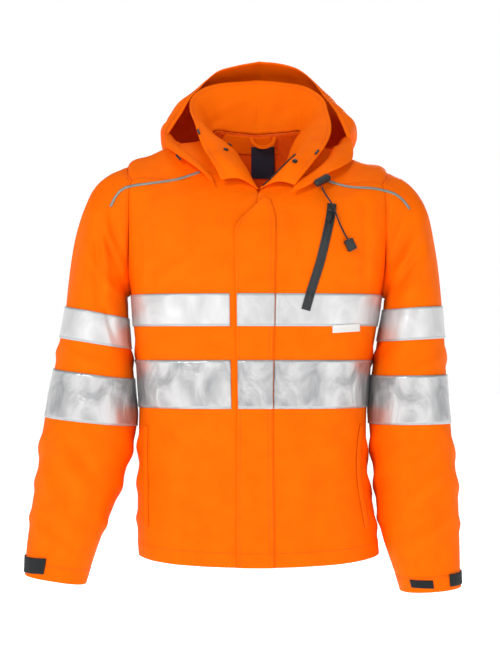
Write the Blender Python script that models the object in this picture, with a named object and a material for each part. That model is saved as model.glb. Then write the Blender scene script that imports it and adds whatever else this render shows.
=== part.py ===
"""Hi-vis work jacket, filled out as if worn, front towards -Y, wearer's left towards +X, +Z up.

The origin is at the base of the neck, where a wearer's shoulders hold the jacket. Every cut piece is
its own closed wall of cloth, and neighbours are 0.3 mm apart at their seams. The tables are in
millimetres and degrees; everything that is built is in metres.
"""

import math

import bmesh
import bpy
from mathutils import Matrix, Vector

for old in list(bpy.data.objects):
    bpy.data.objects.remove(old)

MM = 0.001
CLOTH = 1.6 * MM
COLLAR_CLOTH = 2.4 * MM
TAPE_CLOTH = 1.0 * MM
SEAM_GAP = 0.3 * MM
REST_GAP = 0.35 * MM

# The body, a row for each level from the hem to the neck: how far it reaches to the wearer's right,
# left, front and back, its height at those four places, and how square the ring is.
BODY = (
    # right left front back  z_right z_left z_front z_back square
    (184, 190, 128, 122, -612, -611, -621, -640, 2.5),
    (188, 187, 129, 123, -560, -560, -562, -566, 2.5),
    (187, 178, 130, 123, -500, -500, -500, -502, 2.5),
    (185, 173, 131, 122, -440, -440, -440, -441, 2.5),
    (184, 172, 131, 121, -381, -381, -380, -381, 2.6),
    (187, 174, 131, 121, -343, -343, -343, -343, 2.7),
    (190, 178, 131, 122, -307, -307, -306, -307, 2.8),
    (194, 187, 130, 123, -255, -255, -255, -255, 2.9),
    (197, 194, 129, 124, -206, -206, -205, -206, 3.1),
    (204, 203, 127, 125, -150, -150, -152, -150, 3.3),
    (207, 207, 122, 123, -85, -90, -112, -95, 3.3),
    (205, 205, 112, 114, -2, -12, -90, -52, 3.0),
    (165, 165, 104, 106, 17, 3, -69, -18, 2.5),
    (125, 125, 97, 92, 32, 22, -56, 18, 2.3),
)
ARMPIT = 8
SHOULDER = 11
NECK = 14
FRONT_RISE = 1.7

# The neck seam, a row for each direction counted from the centre front: the wearer's left, then right.
NECK_SEAM = (
    # turn  xl   yl   zl    xr   yr   zr
    (0, 2, -86, -48, 2, -86, -48),
    (15, 22, -76, -29, -8, -79, -32),
    (30, 38, -63, -14, -17, -69, -15),
    (45, 48, -46, 3, -27, -55, 2),
    (60, 53, -30, 20, -38, -40, 19),
    (78, 62, -8, 37, -58, -16, 33),
    (98, 70, 14, 49, -70, 10, 45),
    (125, 66, 42, 59, -66, 42, 60),
    (152, 38, 61, 58, -38, 61, 58),
    (180, 0, 68, 55, 0, 68, 55),
)

# The collar's top edge in the same directions, and how far the cloth rolls out between seam and edge.
COLLAR_EDGE = (
    # turn  xl   yl   zl    xr   yr   zr  roll
    (0, 54, -102, -43, -54, -102, -35, 9),
    (15, 74, -93, -18, -62, -94, -16, 13),
    (30, 90, -72, 3, -72, -78, 1, 13),
    (45, 104, -50, 22, -81, -58, 16, 11),
    (60, 114, -28, 42, -90, -38, 38, 8),
    (78, 117, -6, 62, -98, -14, 64, 6),
    (98, 113, 16, 86, -106, 14, 90, 5),
    (125, 104, 50, 114, -103, 50, 115, 4),
    (152, 68, 84, 137, -70, 84, 137, 4),
    (180, 0, 100, 146, 0, 100, 146, 4),
)

# The hood's free rim in the same directions.
HOOD_RIM = (
    # turn  xl   yl    zl     xr   yr    zr
    (0, 50, -104, -53, -65, -100, -40),
    (15, 78, -97, -41, -84, -94, -20),
    (30, 110, -84, -21, -106, -82, -4),
    (45, 132, -64, -8, -126, -60, 12),
    (60, 148, -26, 8, -144, -24, 30),
    (78, 144, 8, 42, -140, 14, 52),
    (98, 131, 38, 86, -124, 40, 86),
    (125, 108, 64, 124, -100, 64, 124),
    (152, 66, 86, 166, -62, 86, 162),
    (180, 4, 97, 179, 4, 97, 179),
)
# How far the hood's bag reaches out and how far it drops, as parts of what it does at the back.
HOOD_BAG = (
    # turn  reach  drop
    (0, 0, 0),
    (60, 0.03, 0),
    (78, 0.12, 0),
    (98, 0.32, 0),
    (125, 0.66, 0.34),
    (152, 0.92, 0.9),
    (180, 1, 1),
)
# The bag's outline behind the neck, from the neck edge down, round and up to the rim: the part of the
# way to the rim, the reach outwards and the rise.
HOOD_OUTLINE = (
    # way reach rise
    (0, 0, 0),
    (0, 50, -50),
    (0, 64, -100),
    (0, 82, -118),
    (0, 104, -88),
    (0.12, 110, -35),
    (0.5, 88, 0),
    (0.85, 46, 0),
    (1, 0, 0),
)

# The sleeves, a row for each ring below the armhole: the outer and the inner end of the ring, then
# half its depth from front to back and how far its middle lies behind the shoulder line.
SLEEVE_LEFT = (
    # x_out z_out x_in z_in depth y_mid
    (228, -22, 203, -210, 68, 0),
    (250, -39, 202, -216, 70, -1),
    (266, -63, 201, -226, 72, -2),
    (275, -102, 199, -242, 74, -3),
    (282, -150, 195, -264, 76, -4),
    (288, -200, 190, -292, 77, -5),
    (293, -255, 183, -326, 76, -6),
    (297, -306, 179, -358, 75, -7),
    (300, -350, 176, -392, 74, -8),
    (305, -408, 177, -432, 72, -10),
    (312, -482, 182, -494, 68, -14),
    (318, -556, 190, -558, 62, -18),
    (320, -612, 207, -614, 55, -22),
    (319, -661, 224, -668, 50, -25),
)
SLEEVE_RIGHT = (
    # x_out z_out x_in z_in depth y_mid
    (-228, -13, -204, -210, 68, 0),
    (-250, -31, -204, -216, 70, -1),
    (-267, -58, -203, -226, 72, -2),
    (-279, -100, -202, -242, 74, -3),
    (-289, -150, -200, -264, 76, -4),
    (-298, -200, -198, -292, 77, -5),
    (-307, -255, -195, -326, 77, -6),
    (-315, -306, -193, -358, 76, -7),
    (-323, -352, -191, -392, 75, -8),
    (-333, -408, -194, -430, 73, -10),
    (-345, -490, -209, -490, 69, -14),
    (-355, -556, -232, -552, 62, -18),
    (-361, -604, -250, -602, 55, -22),
    (-363, -641, -267, -656, 50, -25),
)
SLEEVE_SQUARE = 2.3
TAPE_LEVELS = {"chest": (7, 8), "waist": (4, 6)}

# The largest folds: ridges and troughs that run straight from one place to another.
FOLDS = (
    # side x z  to x z  half_width height
    ("front", -252, -100, -244, -215, 15, -4),
    ("front", -236, -105, -231, -205, 13, 4),
    ("front", -228, -75, -209, -160, 10, -4),
    ("front", 244, -90, 203, -165, 12, -4),
    ("front", 250, -128, 210, -200, 12, -4),
    ("front", 284, -430, 240, -500, 18, 4),
    ("front", -306, -430, -272, -505, 18, 4),
    ("front", 164, -80, 168, -190, 13, -3),
    ("front", -150, -95, -158, -190, 14, -3),
    ("front", 120, -420, 128, -560, 22, 3),
    ("front", -118, -430, -128, -570, 22, 3),
    ("back", -238, -90, -206, -200, 16, -4),
    ("back", 240, -95, 208, -205, 16, -4),
    ("back", -105, -60, -122, -190, 20, -4),
    ("back", 102, -55, 118, -190, 20, -4),
    ("back", 60, -420, 72, -600, 26, 4),
    ("back", -78, -430, -64, -600, 26, 4),
    ("back", -300, -430, -268, -510, 18, 4),
    ("back", 280, -430, 246, -510, 18, 4),
)


def table_row(rows, at):
    """A row between the rows of a table, on a smooth curve through them."""
    last = len(rows) - 1
    first = min(max(int(at), 0), last - 1)
    part = at - first
    around = [rows[min(max(first + step, 0), last)] for step in (-1, 0, 1, 2)]
    return [
        0.5
        * (2 * b + (c - a) * part + (2 * a - 5 * b + 4 * c - d) * part**2 + (3 * b - a - 3 * c + d) * part**3)
        for a, b, c, d in zip(*around)
    ]


def keyed_row(rows, key):
    """The row for a key in the first column, without that column."""
    for number in range(len(rows) - 1):
        low, high = rows[number][0], rows[number + 1][0]
        if key <= high or number == len(rows) - 2:
            break
    return table_row(rows, number + (key - low) / (high - low))[1:]


def from_front(turn):
    """Degrees from the centre front, and whether it is on the wearer's left."""
    away = (turn + 90) % 360
    return (away, True) if away <= 180 else (360 - away, False)


def edge_point(rows, turn):
    """A point of a table that holds the wearer's left and right in x, y, z columns."""
    away, is_left = from_front(turn)
    row = keyed_row(rows, away)
    return Vector(row[0:3] if is_left else row[3:6]) * MM


def ring_point(row, turn):
    """A point of a body ring: turn 0 is the wearer's left side, -90 the centre front."""
    right, left, front, back, z_right, z_left, z_front, z_back, square = row
    c = math.cos(math.radians(turn))
    s = math.sin(math.radians(turn))
    size = (abs(c) ** square + abs(s) ** square) ** (1 / square)
    x = c / size * (left if c > 0 else right)
    y = s / size * (back if s > 0 else front)
    z_side = z_left if c > 0 else z_right
    z_end = z_back if s > 0 else z_front
    return Vector((x, y, z_side + (z_end - z_side) * abs(s) ** FRONT_RISE)) * MM


def body_point(level, turn):
    """A point of the body's cloth, which passes from the last ring to the neck seam."""
    top = len(BODY) - 1
    point = ring_point(table_row(BODY, min(level, top)), turn)
    if level > top:
        part = (level - top) / (NECK - top)
        point = point.lerp(edge_point(NECK_SEAM, turn), part)
    return point


def body_normal(level, turn):
    """Outward direction of the body's cloth."""
    step = 0.15
    low, high = max(level - step, 0), min(level + step, NECK)
    up = body_point(high, turn) - body_point(low, turn)
    round_it = body_point(level, turn + 2) - body_point(level, turn - 2)
    return round_it.cross(up).normalized()


def on_body(level, turn, out=0.0):
    """A point that lies the given height over the body's cloth."""
    return body_point(level, turn) + body_normal(level, turn) * out


def armhole_turn(level):
    """How far the armhole's edge stands from the side line, in degrees, at a level over the armpit."""
    part = min(max((level - ARMPIT) / (SHOULDER - ARMPIT), 0), 1)
    return 30 * (1 - (1 - part) ** 3) ** 0.6


def saddle_turn(level, behind):
    """How far the saddle's front or back edge stands from the side line, from shoulder to neck."""
    edges = ((30, 44, 48, 52), (30, 40, 46, 52))[behind]
    return table_row([(edge,) for edge in edges], level - SHOULDER)[0]


def side_turn(level, behind):
    """How far a front or back panel stays off the side line: nothing below the armpit."""
    if level <= SHOULDER:
        return armhole_turn(level)
    return saddle_turn(level, behind)


def fold_height(point, normal):
    """How far the folds move a place of the cloth outwards."""
    side = "front" if normal.y < 0 else "back"
    total = 0
    for where, x, z, x_end, z_end, width, height in FOLDS:
        if where == side:
            start, run = Vector((x, z)), Vector((x_end - x, z_end - z))
            to = Vector((point.x, point.z)) / MM - start
            part = min(max(to.dot(run) / run.length_squared, 0), 1)
            away = (to - run * part).length
            total += height * math.exp(-((away / width) ** 2)) * abs(normal.y)
    return total * MM


def wall(name, grid, normals, thickness, colour, closed=False, lift=0.0):
    """A wall of cloth: its outer face is the grid moved out by lift, its inner face lies thickness under it."""
    rows, columns = len(grid), len(grid[0])
    mesh = bmesh.new()
    faces = []
    folds = [[fold_height(*place) for place in zip(*line)] for line in zip(grid, normals)]
    for height in (lift, lift - thickness):
        layer = [
            [mesh.verts.new(grid[r][c] + normals[r][c] * (height + folds[r][c])) for c in range(columns)]
            for r in range(rows)
        ]
        faces.append(layer)
    outer, inner = faces
    spans = columns if closed else columns - 1
    for r in range(rows - 1):
        for c in range(spans):
            d = (c + 1) % columns
            mesh.faces.new((outer[r][c], outer[r][d], outer[r + 1][d], outer[r + 1][c]))
            mesh.faces.new((inner[r][c], inner[r + 1][c], inner[r + 1][d], inner[r][d]))
    for c in range(spans):
        d = (c + 1) % columns
        mesh.faces.new((outer[0][c], inner[0][c], inner[0][d], outer[0][d]))
        mesh.faces.new((outer[-1][c], outer[-1][d], inner[-1][d], inner[-1][c]))
    if not closed:
        for r in range(rows - 1):
            mesh.faces.new((outer[r][0], outer[r + 1][0], inner[r + 1][0], inner[r][0]))
            mesh.faces.new((outer[r][-1], inner[r][-1], inner[r + 1][-1], outer[r + 1][-1]))
    bmesh.ops.recalc_face_normals(mesh, faces=mesh.faces)
    return finished(name, mesh, colour)


def finished(name, mesh, colour, roughness=0.7, metallic=0.0):
    """Makes the object for a mesh, with its own material."""
    bmesh.ops.triangulate(mesh, faces=mesh.faces)
    data = bpy.data.meshes.new(name)
    mesh.to_mesh(data)
    mesh.free()
    obj = bpy.data.objects.new(name, data)
    bpy.context.collection.objects.link(obj)
    give_material(obj, colour, roughness, metallic)
    return obj


def give_material(obj, colour, roughness=0.7, metallic=0.0):
    """Gives an object its own Principled material."""
    material = bpy.data.materials.new(obj.name)
    material.use_nodes = True
    shader = material.node_tree.nodes["Principled BSDF"]
    shader.inputs["Base Color"].default_value = (*colour, 1)
    shader.inputs["Roughness"].default_value = roughness
    shader.inputs["Metallic"].default_value = metallic
    obj.data.materials.append(material)
    obj.data.shade_smooth()


ORANGE = (1.0, 0.15, 0.0)
SILVER = (0.7, 0.7, 0.7)
BLACK = (0.02, 0.022, 0.024)
NAVY = (0.03, 0.045, 0.07)
WHITE = (0.8, 0.8, 0.8)


def pulled_in(grid, by, closed=False):
    """The grid with its edge points moved inwards by half a seam gap."""
    rows, columns = len(grid), len(grid[0])
    moved = [list(row) for row in grid]
    for c in range(columns):
        moved[0][c] = grid[0][c] + (grid[1][c] - grid[0][c]).normalized() * by
        moved[-1][c] = grid[-1][c] + (grid[-2][c] - grid[-1][c]).normalized() * by
    if not closed:
        middle = [list(row) for row in moved]
        for r in range(rows):
            moved[r][0] = middle[r][0] + (middle[r][1] - middle[r][0]).normalized() * by
            moved[r][-1] = middle[r][-1] + (middle[r][-2] - middle[r][-1]).normalized() * by
    return moved


def body_grid(levels, ends, columns):
    """Levels and turns of a panel: ends gives the panel's two turns at a level."""
    grid = []
    for level in levels:
        start, end = ends(level)
        grid.append([(level, start + (end - start) * c / columns) for c in range(columns + 1)])
    return grid


def body_panel(name, levels, ends, columns, thickness=CLOTH, colour=ORANGE, lift=0.0, gap=SEAM_GAP / 2):
    """A piece of cloth on the body between two turns and over the given levels."""
    return placed_panel(name, body_grid(levels, ends, columns), thickness, colour, lift, gap)


def placed_panel(name, places, thickness=CLOTH, colour=ORANGE, lift=0.0, gap=SEAM_GAP / 2):
    """A piece of cloth on the body through a grid of levels and turns."""
    points = [[body_point(*place) for place in row] for row in places]
    normals = [[body_normal(*place) for place in row] for row in places]
    return wall(name, pulled_in(points, gap), normals, thickness, colour, lift=lift)


ARMHOLE_LEVELS = (8, 8.12, 8.36, 8.75, 9.3, 10, 11)
PANEL_LEVELS = (0, 1, 2, 3, 4, 5, 6, 7) + ARMHOLE_LEVELS + (11.5, 12, 12.5, 13, 13.5, 14)
SADDLE_LEVELS = (11, 11.5, 12, 12.5, 13, 13.5, 14)
FRONT_COLUMNS = 10
BACK_COLUMNS = 14
SADDLE_COLUMNS = 8

body_panel("front_left", PANEL_LEVELS, lambda level: (-90, -side_turn(level, False)), FRONT_COLUMNS)
body_panel("front_right", PANEL_LEVELS, lambda level: (-180 + side_turn(level, False), -90), FRONT_COLUMNS)
body_panel(
    "back", PANEL_LEVELS, lambda level: (side_turn(level, True), 180 - side_turn(level, True)), BACK_COLUMNS
)
body_panel(
    "saddle_left", SADDLE_LEVELS, lambda level: (-saddle_turn(level, False), saddle_turn(level, True)), SADDLE_COLUMNS
)
body_panel(
    "saddle_right",
    SADDLE_LEVELS,
    lambda level: (180 - saddle_turn(level, True), 180 + saddle_turn(level, False)),
    SADDLE_COLUMNS,
)


def armhole_loop(is_left):
    """The armhole's points as (level, turn), from the shoulder ridge down the front to the armpit and up."""
    half = SADDLE_COLUMNS // 2
    corner = armhole_turn(SHOULDER)
    front = [(SHOULDER, -corner * step / half) for step in range(half + 1)]
    front += [(level, -armhole_turn(level)) for level in reversed(ARMHOLE_LEVELS[:-1])]
    back = [(level, armhole_turn(level)) for level in ARMHOLE_LEVELS[1:]]
    back += [(SHOULDER, corner * step / half) for step in range(half - 1, 0, -1)]
    loop = front + back
    return loop if is_left else [(level, 180 - turn) for level, turn in loop]


def sleeve_turns(points):
    """An angle round the sleeve for each armhole point: 0 at the shoulder, 180 at the armpit."""
    pit = min(range(len(points)), key=lambda number: points[number].z)
    travelled = [0.0]
    for number in range(len(points)):
        step = points[(number + 1) % len(points)] - points[number]
        travelled.append(travelled[-1] + step.length)
    front, whole = travelled[pit], travelled[-1]
    return [
        -180 * way / front if number <= pit else -180 - 180 * (way - front) / (whole - front)
        for number, way in enumerate(travelled[:-1])
    ]


def sleeve_point(rows, at, turn):
    """A point of a sleeve ring: turn 0 is its outer end, -90 its front."""
    x_out, z_out, x_in, z_in, depth, y_mid = table_row(rows, at)
    c = math.cos(math.radians(turn))
    s = math.sin(math.radians(turn))
    size = (abs(c) ** SLEEVE_SQUARE + abs(s) ** SLEEVE_SQUARE) ** (1 / SLEEVE_SQUARE)
    part = c / size
    x = (x_out + x_in) / 2 + (x_out - x_in) / 2 * part
    z = (z_out + z_in) / 2 + (z_out - z_in) / 2 * part
    return Vector((x, y_mid + s / size * depth, z)) * MM


def grid_normals(grid, closed):
    """Outward direction at each grid point, from its neighbours."""
    rows, columns = len(grid), len(grid[0])
    found = []
    for r in range(rows):
        low, high = grid[max(r - 1, 0)], grid[min(r + 1, rows - 1)]
        line = []
        for c in range(columns):
            if closed:
                a, b = (c - 1) % columns, (c + 1) % columns
            else:
                a, b = max(c - 1, 0), min(c + 1, columns - 1)
            across = grid[r][b] - grid[r][a]
            along = high[c] - low[c]
            line.append(across.cross(along).normalized())
        found.append(line)
    return found


def sleeve_grid(rows, is_left, ats):
    """A sleeve's rings, the first just outside the armhole's edge."""
    places = armhole_loop(is_left)
    edge = [body_point(*place) for place in places]
    turns = sleeve_turns(edge)
    outward = Vector((1 if is_left else -1, 0, 0))
    grid = [[point + outward * SEAM_GAP * 1.5 for point in edge]]
    for at in ats:
        grid.append([sleeve_point(rows, at, turn) for turn in turns])
    normals = grid_normals(grid, True)
    sign = 1 if is_left else -1
    return grid, [[normal * sign for normal in row] for row in normals]


def clear_of_armhole(places, normals):
    """The sleeve's first normals, which follow the body's so that the two walls meet edge to edge."""
    return [[body_normal(*place) for place in places]] + normals[1:]


SLEEVE_RINGS = tuple(range(14))
for side, rows in (("left", SLEEVE_LEFT), ("right", SLEEVE_RIGHT)):
    is_left = side == "left"
    grid, normals = sleeve_grid(rows, is_left, SLEEVE_RINGS)
    normals = clear_of_armhole(armhole_loop(is_left), normals)
    wall("sleeve_" + side, grid, normals, CLOTH, ORANGE, closed=True)


def collar_grid(turns, parts):
    """The collar's face that shows, from the neck seam up and out to its top edge."""
    grid = []
    for part in parts:
        line = []
        for turn in turns:
            seam = edge_point(NECK_SEAM, turn)
            edge = edge_point(COLLAR_EDGE, turn)
            roll = keyed_row(COLLAR_EDGE, from_front(turn)[0])[6] * MM
            lean = Vector((-math.cos(math.radians(turn)) * 0.3, -0.5, 1)).normalized()
            line.append(seam.lerp(edge, part) + lean * roll * math.sin(math.pi * part))
        grid.append(line)
    return grid


def hood_point(turn, at):
    """A point of the hood: at 0 is its neck edge and 8 its rim."""
    away, is_left = from_front(turn)
    reach, drop = keyed_row(HOOD_BAG, away)
    under = HOOD_START + away * (1 - HOOD_START / 180)
    under_turn = -90 + under if is_left else -90 - under
    neck = on_body(HOOD_LEVEL, under_turn, out=HOOD_SEAT)
    rim = edge_point(HOOD_RIM, turn)
    way, out, rise = table_row(HOOD_OUTLINE, at)
    way = (1 - reach) * at / 8 + reach * way
    c, s = math.cos(math.radians(turn)), math.sin(math.radians(turn))
    hump = 7 * MM * math.sin(math.pi * at / 8) * (1 - reach)
    up = Vector((0, 0, rise * drop * MM + hump))
    return neck.lerp(rim, way) + Vector((c, s, 0)) * out * reach * MM + up


def faced(grid, column, towards):
    """Normals of an open grid, all turned to the side that faces the given way at one column."""
    normals = grid_normals(grid, False)
    sign = 1 if normals[len(grid) // 2][column].dot(towards) > 0 else -1
    return [[normal * sign for normal in row] for row in normals]


HOOD_START = 36
HOOD_LEVEL = 13.05
HOOD_SEAT = 1.7 * MM
COLLAR_TURNS = [-87 + 354 * step / 26 for step in range(27)]
COLLAR_PARTS = (0, 0.3, 0.65, 1)
grid = collar_grid(COLLAR_TURNS, COLLAR_PARTS)
normals = faced(grid, 13, Vector((0, -1, 0)))
wall("collar", grid, normals, COLLAR_CLOTH, ORANGE, lift=COLLAR_CLOTH + 2 * REST_GAP)

HOOD_TURNS = [-89.9 + 359.8 * step / 26 for step in range(27)]
HOOD_ROWS = (0, 1, 2, 3, 4, 5, 6, 7, 8)
grid = [[hood_point(turn, at) for turn in HOOD_TURNS] for at in HOOD_ROWS]
normals = faced(grid, 13, Vector((0, 1, 0)))
wall("hood", grid, normals, CLOTH, ORANGE, lift=-3 * REST_GAP)


def place_at(x, z, in_front=True):
    """The level and turn of the body's front, or back, where it passes a given x and z."""
    near, far = (-90, -90 + math.copysign(88, x)) if in_front else (90, 90 - math.copysign(88, x))
    low, high = 0, NECK
    for _ in range(18):
        level = (low + high) / 2
        inner, outer = near, far
        for _ in range(18):
            turn = (inner + outer) / 2
            if abs(body_point(level, turn).x) < abs(x) * MM:
                inner = turn
            else:
                outer = turn
        if body_point(level, turn).z < z * MM:
            low = level
        else:
            high = level
    return level, turn


def front_patch(name, rows, lift, thickness, colour, in_front=True):
    """A flat piece sewn on the body: rows of (x, z) places, the height of its outer face over the cloth."""
    places = [[place_at(x, z, in_front) for x, z in row] for row in rows]
    points = [[body_point(*place) for place in row] for row in places]
    normals = [[body_normal(*place) for place in row] for row in places]
    if not in_front:
        normals = [[normal * -1 for normal in row] for row in normals]
    return wall(name, points, normals, thickness, colour, lift=lift)


def ribbon(name, middle, sideways, normals, thickness, colour):
    """A narrow strap: its middle line, half its width as a vector at each point, and its outward normals."""
    grid = [[point - side, point + side] for point, side in zip(middle, sideways)]
    return wall(name, grid, [[normal, normal] for normal in normals], thickness, colour)


TAPE_LIFT = TAPE_CLOTH + REST_GAP
FLAP_LIFT = CLOTH + 2 * REST_GAP
FLAP_FREE, FLAP_STITCHED = -99.5, -82.0
FLAP_LEVELS = (0, 1, 2, 3, 4, 5, 6, 7, 8, 8.36, 8.75, 9.3, 10, 11, 11.5, 12, 12.5)
TAPE_START = -102.0


def flap_free_turn(level):
    """The flap's free edge leans over towards its stitching above the chest."""
    part = max((level - 10) / 2.6, 0)
    return FLAP_FREE + (FLAP_STITCHED - 3 - FLAP_FREE) * part**1.5


places = body_grid(FLAP_LEVELS, lambda level: (flap_free_turn(level), FLAP_STITCHED), 3)
points = []
for row in places:
    curl = 7 * MM * max((row[0][0] - 10) / 2.5, 0)
    points.append([on_body(*place, out=curl * (1 - number / 3)) for number, place in enumerate(row)])
normals = [[body_normal(*place) for place in row] for row in places]
wall("storm_flap", pulled_in(points, 0), normals, CLOTH, ORANGE, lift=FLAP_LIFT)

for tape, (low, high) in TAPE_LEVELS.items():
    levels = range(low, high + 1)
    trim = dict(thickness=TAPE_CLOTH, colour=SILVER, lift=TAPE_LIFT)
    turns = [-180 + 90 / FRONT_COLUMNS * column for column in range(FRONT_COLUMNS - 1)] + [TAPE_START]
    places = [[(level, turn) for turn in turns] for level in levels]
    placed_panel("tape_" + tape + "_right", places, **trim)
    body_panel("tape_" + tape + "_left", levels, lambda level: (FLAP_STITCHED + 1, 0), 9, **trim)
    body_panel("tape_" + tape + "_back", levels, lambda level: (0, 180), BACK_COLUMNS, **trim)
    trim["lift"] += FLAP_LIFT
    body_panel("tape_" + tape + "_flap", levels, lambda level: (FLAP_FREE + 0.5, FLAP_STITCHED), 3, **trim)

# The tapes round the sleeves: the heights of their upper and lower edges at the sleeve's outer and inner
# side.
SLEEVE_TAPES = (
    # side tape top_out top_in low_out low_in
    ("left", "upper", -223, -229, -273, -279),
    ("left", "lower", -330, -331, -406, -407),
    ("right", "upper", -223, -243, -272, -291),
    ("right", "lower", -321, -337, -396, -411),
)


def sleeve_at(rows, turn, height):
    """The ring number where a sleeve passes a height, at one turn round it."""
    low, high = 0, len(rows) - 1
    for _ in range(24):
        at = (low + high) / 2
        if sleeve_point(rows, at, turn).z > height:
            low = at
        else:
            high = at
    return at


def sleeve_band(name, side, turns, heights, thickness, colour, lift, closed=True):
    """A band on a sleeve: for each of its edges the heights at the outer and the inner side."""
    rows = SLEEVES[side]
    grid = []
    for outer, inner in heights:
        line = []
        for turn in turns:
            share = (1 - math.cos(math.radians(turn))) / 2
            height = (outer + (inner - outer) * share) * MM
            line.append(sleeve_point(rows, sleeve_at(rows, turn, height), turn))
        grid.append(line)
    sign = 1 if side == "left" else -1
    normals = [[normal * sign for normal in row] for row in grid_normals(grid, closed)]
    return wall(name, grid, normals, thickness, colour, closed=closed, lift=lift)


SLEEVES = {"left": SLEEVE_LEFT, "right": SLEEVE_RIGHT}
SLEEVE_LIFT = TAPE_CLOTH + 3 * REST_GAP
for side, tape, top_out, top_in, low_out, low_in in SLEEVE_TAPES:
    turns = sleeve_turns([body_point(*place) for place in armhole_loop(side == "left")])
    middle = ((top_out + low_out) / 2, (top_in + low_in) / 2)
    heights = ((top_out, top_in), middle, (low_out, low_in))
    sleeve_band("tape_sleeve_" + tape + "_" + side, side, turns, heights, TAPE_CLOTH, SILVER, SLEEVE_LIFT)


def tangent(level, turn, along):
    """A direction of the given kind, laid into the cloth at a place."""
    normal = body_normal(level, turn)
    return (along - normal * along.dot(normal)).normalized()


def block(name, size, centre, x_axis, out, colour, round_by, segments=1, roughness=0.45):
    """A moulded piece: a box of the given size with rounded edges, its z side facing out."""
    mesh = bmesh.new()
    bmesh.ops.create_cube(mesh, size=1)
    bmesh.ops.scale(mesh, vec=[side * MM for side in size], verts=mesh.verts)
    bmesh.ops.bevel(
        mesh, geom=mesh.edges[:], offset=round_by * MM, segments=segments, affect="EDGES", clamp_overlap=True
    )
    z_axis = out.normalized()
    y_axis = z_axis.cross(x_axis).normalized()
    x_axis = y_axis.cross(z_axis)
    turn = Matrix((x_axis, y_axis, z_axis)).transposed().to_4x4()
    bmesh.ops.transform(mesh, matrix=Matrix.Translation(centre) @ turn, verts=mesh.verts)
    return finished(name, mesh, colour, roughness)


def disc(name, radius, height, centre, out, colour):
    """A round stud, standing out of the cloth."""
    mesh = bmesh.new()
    bmesh.ops.create_cone(
        mesh, cap_ends=True, segments=14, radius1=radius * MM, radius2=radius * 0.8 * MM, depth=height * MM
    )
    turn = Vector((0, 0, 1)).rotation_difference(out).to_matrix().to_4x4()
    bmesh.ops.transform(mesh, matrix=Matrix.Translation(centre) @ turn, verts=mesh.verts)
    return finished(name, mesh, colour, 0.35, 0.6)


# Chest zip: a coated strip down the wearer's left chest, over the chest tape, with its slider at the top.
ZIP_LINE = ((114, -70), (112, -84), (108, -104), (102, -130), (95, -158), (87, -184), (80, -206), (72, -229))
ZIP_HALF_WIDTH = 6.6
ZIP_CLOTH = 1.2 * MM
ZIP_LIFT = TAPE_LIFT + REST_GAP + ZIP_CLOTH
zip_rows = [[(x - ZIP_HALF_WIDTH, z + 1.5), (x + ZIP_HALF_WIDTH, z - 1.5)] for x, z in ZIP_LINE]
front_patch("chest_zip", zip_rows, ZIP_LIFT, ZIP_CLOTH, BLACK)

SLIDER_PLACE = place_at(113, -77)
SLIDER_SIZE = (11, 13, 4.4)
down_zip = tangent(*SLIDER_PLACE, Vector((-0.24, 0, -0.97)))
out = body_normal(*SLIDER_PLACE)
across_zip = down_zip.cross(out)
slider_centre = on_body(*SLIDER_PLACE, out=ZIP_LIFT + REST_GAP + SLIDER_SIZE[2] / 2 * MM)
block("chest_slider", SLIDER_SIZE, slider_centre, across_zip, out, BLACK, 1.2)

# The pull hangs from a pin at the slider's lower end; the pin's line is the hinge.
PULL_SIZE = (6.5, 17, 2.2)
PULL_END = 1.2
PULL_HINGE = slider_centre + down_zip * (SLIDER_SIZE[1] / 2 + PULL_END + 0.6) * MM
pull_centre = PULL_HINGE + down_zip * (PULL_SIZE[1] / 2 - PULL_END) * MM
block("chest_pull", PULL_SIZE, pull_centre, across_zip, out, BLACK, 0.7)

# Pocket welts beside the hips, each a folded strip with its opening behind it.
WELT_HEIGHTS = (-408, -440, -470, -500, -530, -566)
WELT_X = {"left": (161, 157, 156, 158, 163, 170), "right": (-171, -172, -172, -171, -171, -170)}
for side, turn_x in WELT_X.items():
    rows = [[(x - 6, z), (x + 6, z)] for x, z in zip(turn_x, WELT_HEIGHTS)]
    front_patch("pocket_welt_" + side, rows, CLOTH + REST_GAP * 3, CLOTH * 0.7, ORANGE)

# Small woven label at the chest tape's lower edge.
front_patch(
    "tape_label",
    [[(x, top + 0.06 * (x - 135)) for x in (114, 135, 157)] for top in (-252, -264)],
    TAPE_LIFT + 3 * REST_GAP + 0.8 * MM,
    0.8 * MM,
    WHITE,
)


def collar_place(turn, part, out=0.0):
    """A point over the collar's face and the face's direction there."""
    (here, beside), (above, _) = collar_grid((turn, turn + 2), (part, part + 0.05))
    normal = (beside - here).cross(above - here).normalized()
    if normal.dot(Vector((0, -1, 0.6))) < 0:
        normal = -normal
    return here + normal * (COLLAR_CLOTH + 2 * REST_GAP + out), normal


def sleeve_place(rows, at, turn, out):
    """A point over a sleeve's cloth and the cloth's direction there."""
    here = sleeve_point(rows, at, turn)
    across = sleeve_point(rows, at, turn + 2) - here
    normal = across.cross(sleeve_point(rows, at + 0.1, turn) - here).normalized()
    middle = (sleeve_point(rows, at, 0) + sleeve_point(rows, at, 180)) / 2
    if normal.dot(here - middle) < 0:
        normal = -normal
    return here + normal * out, normal


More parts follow.
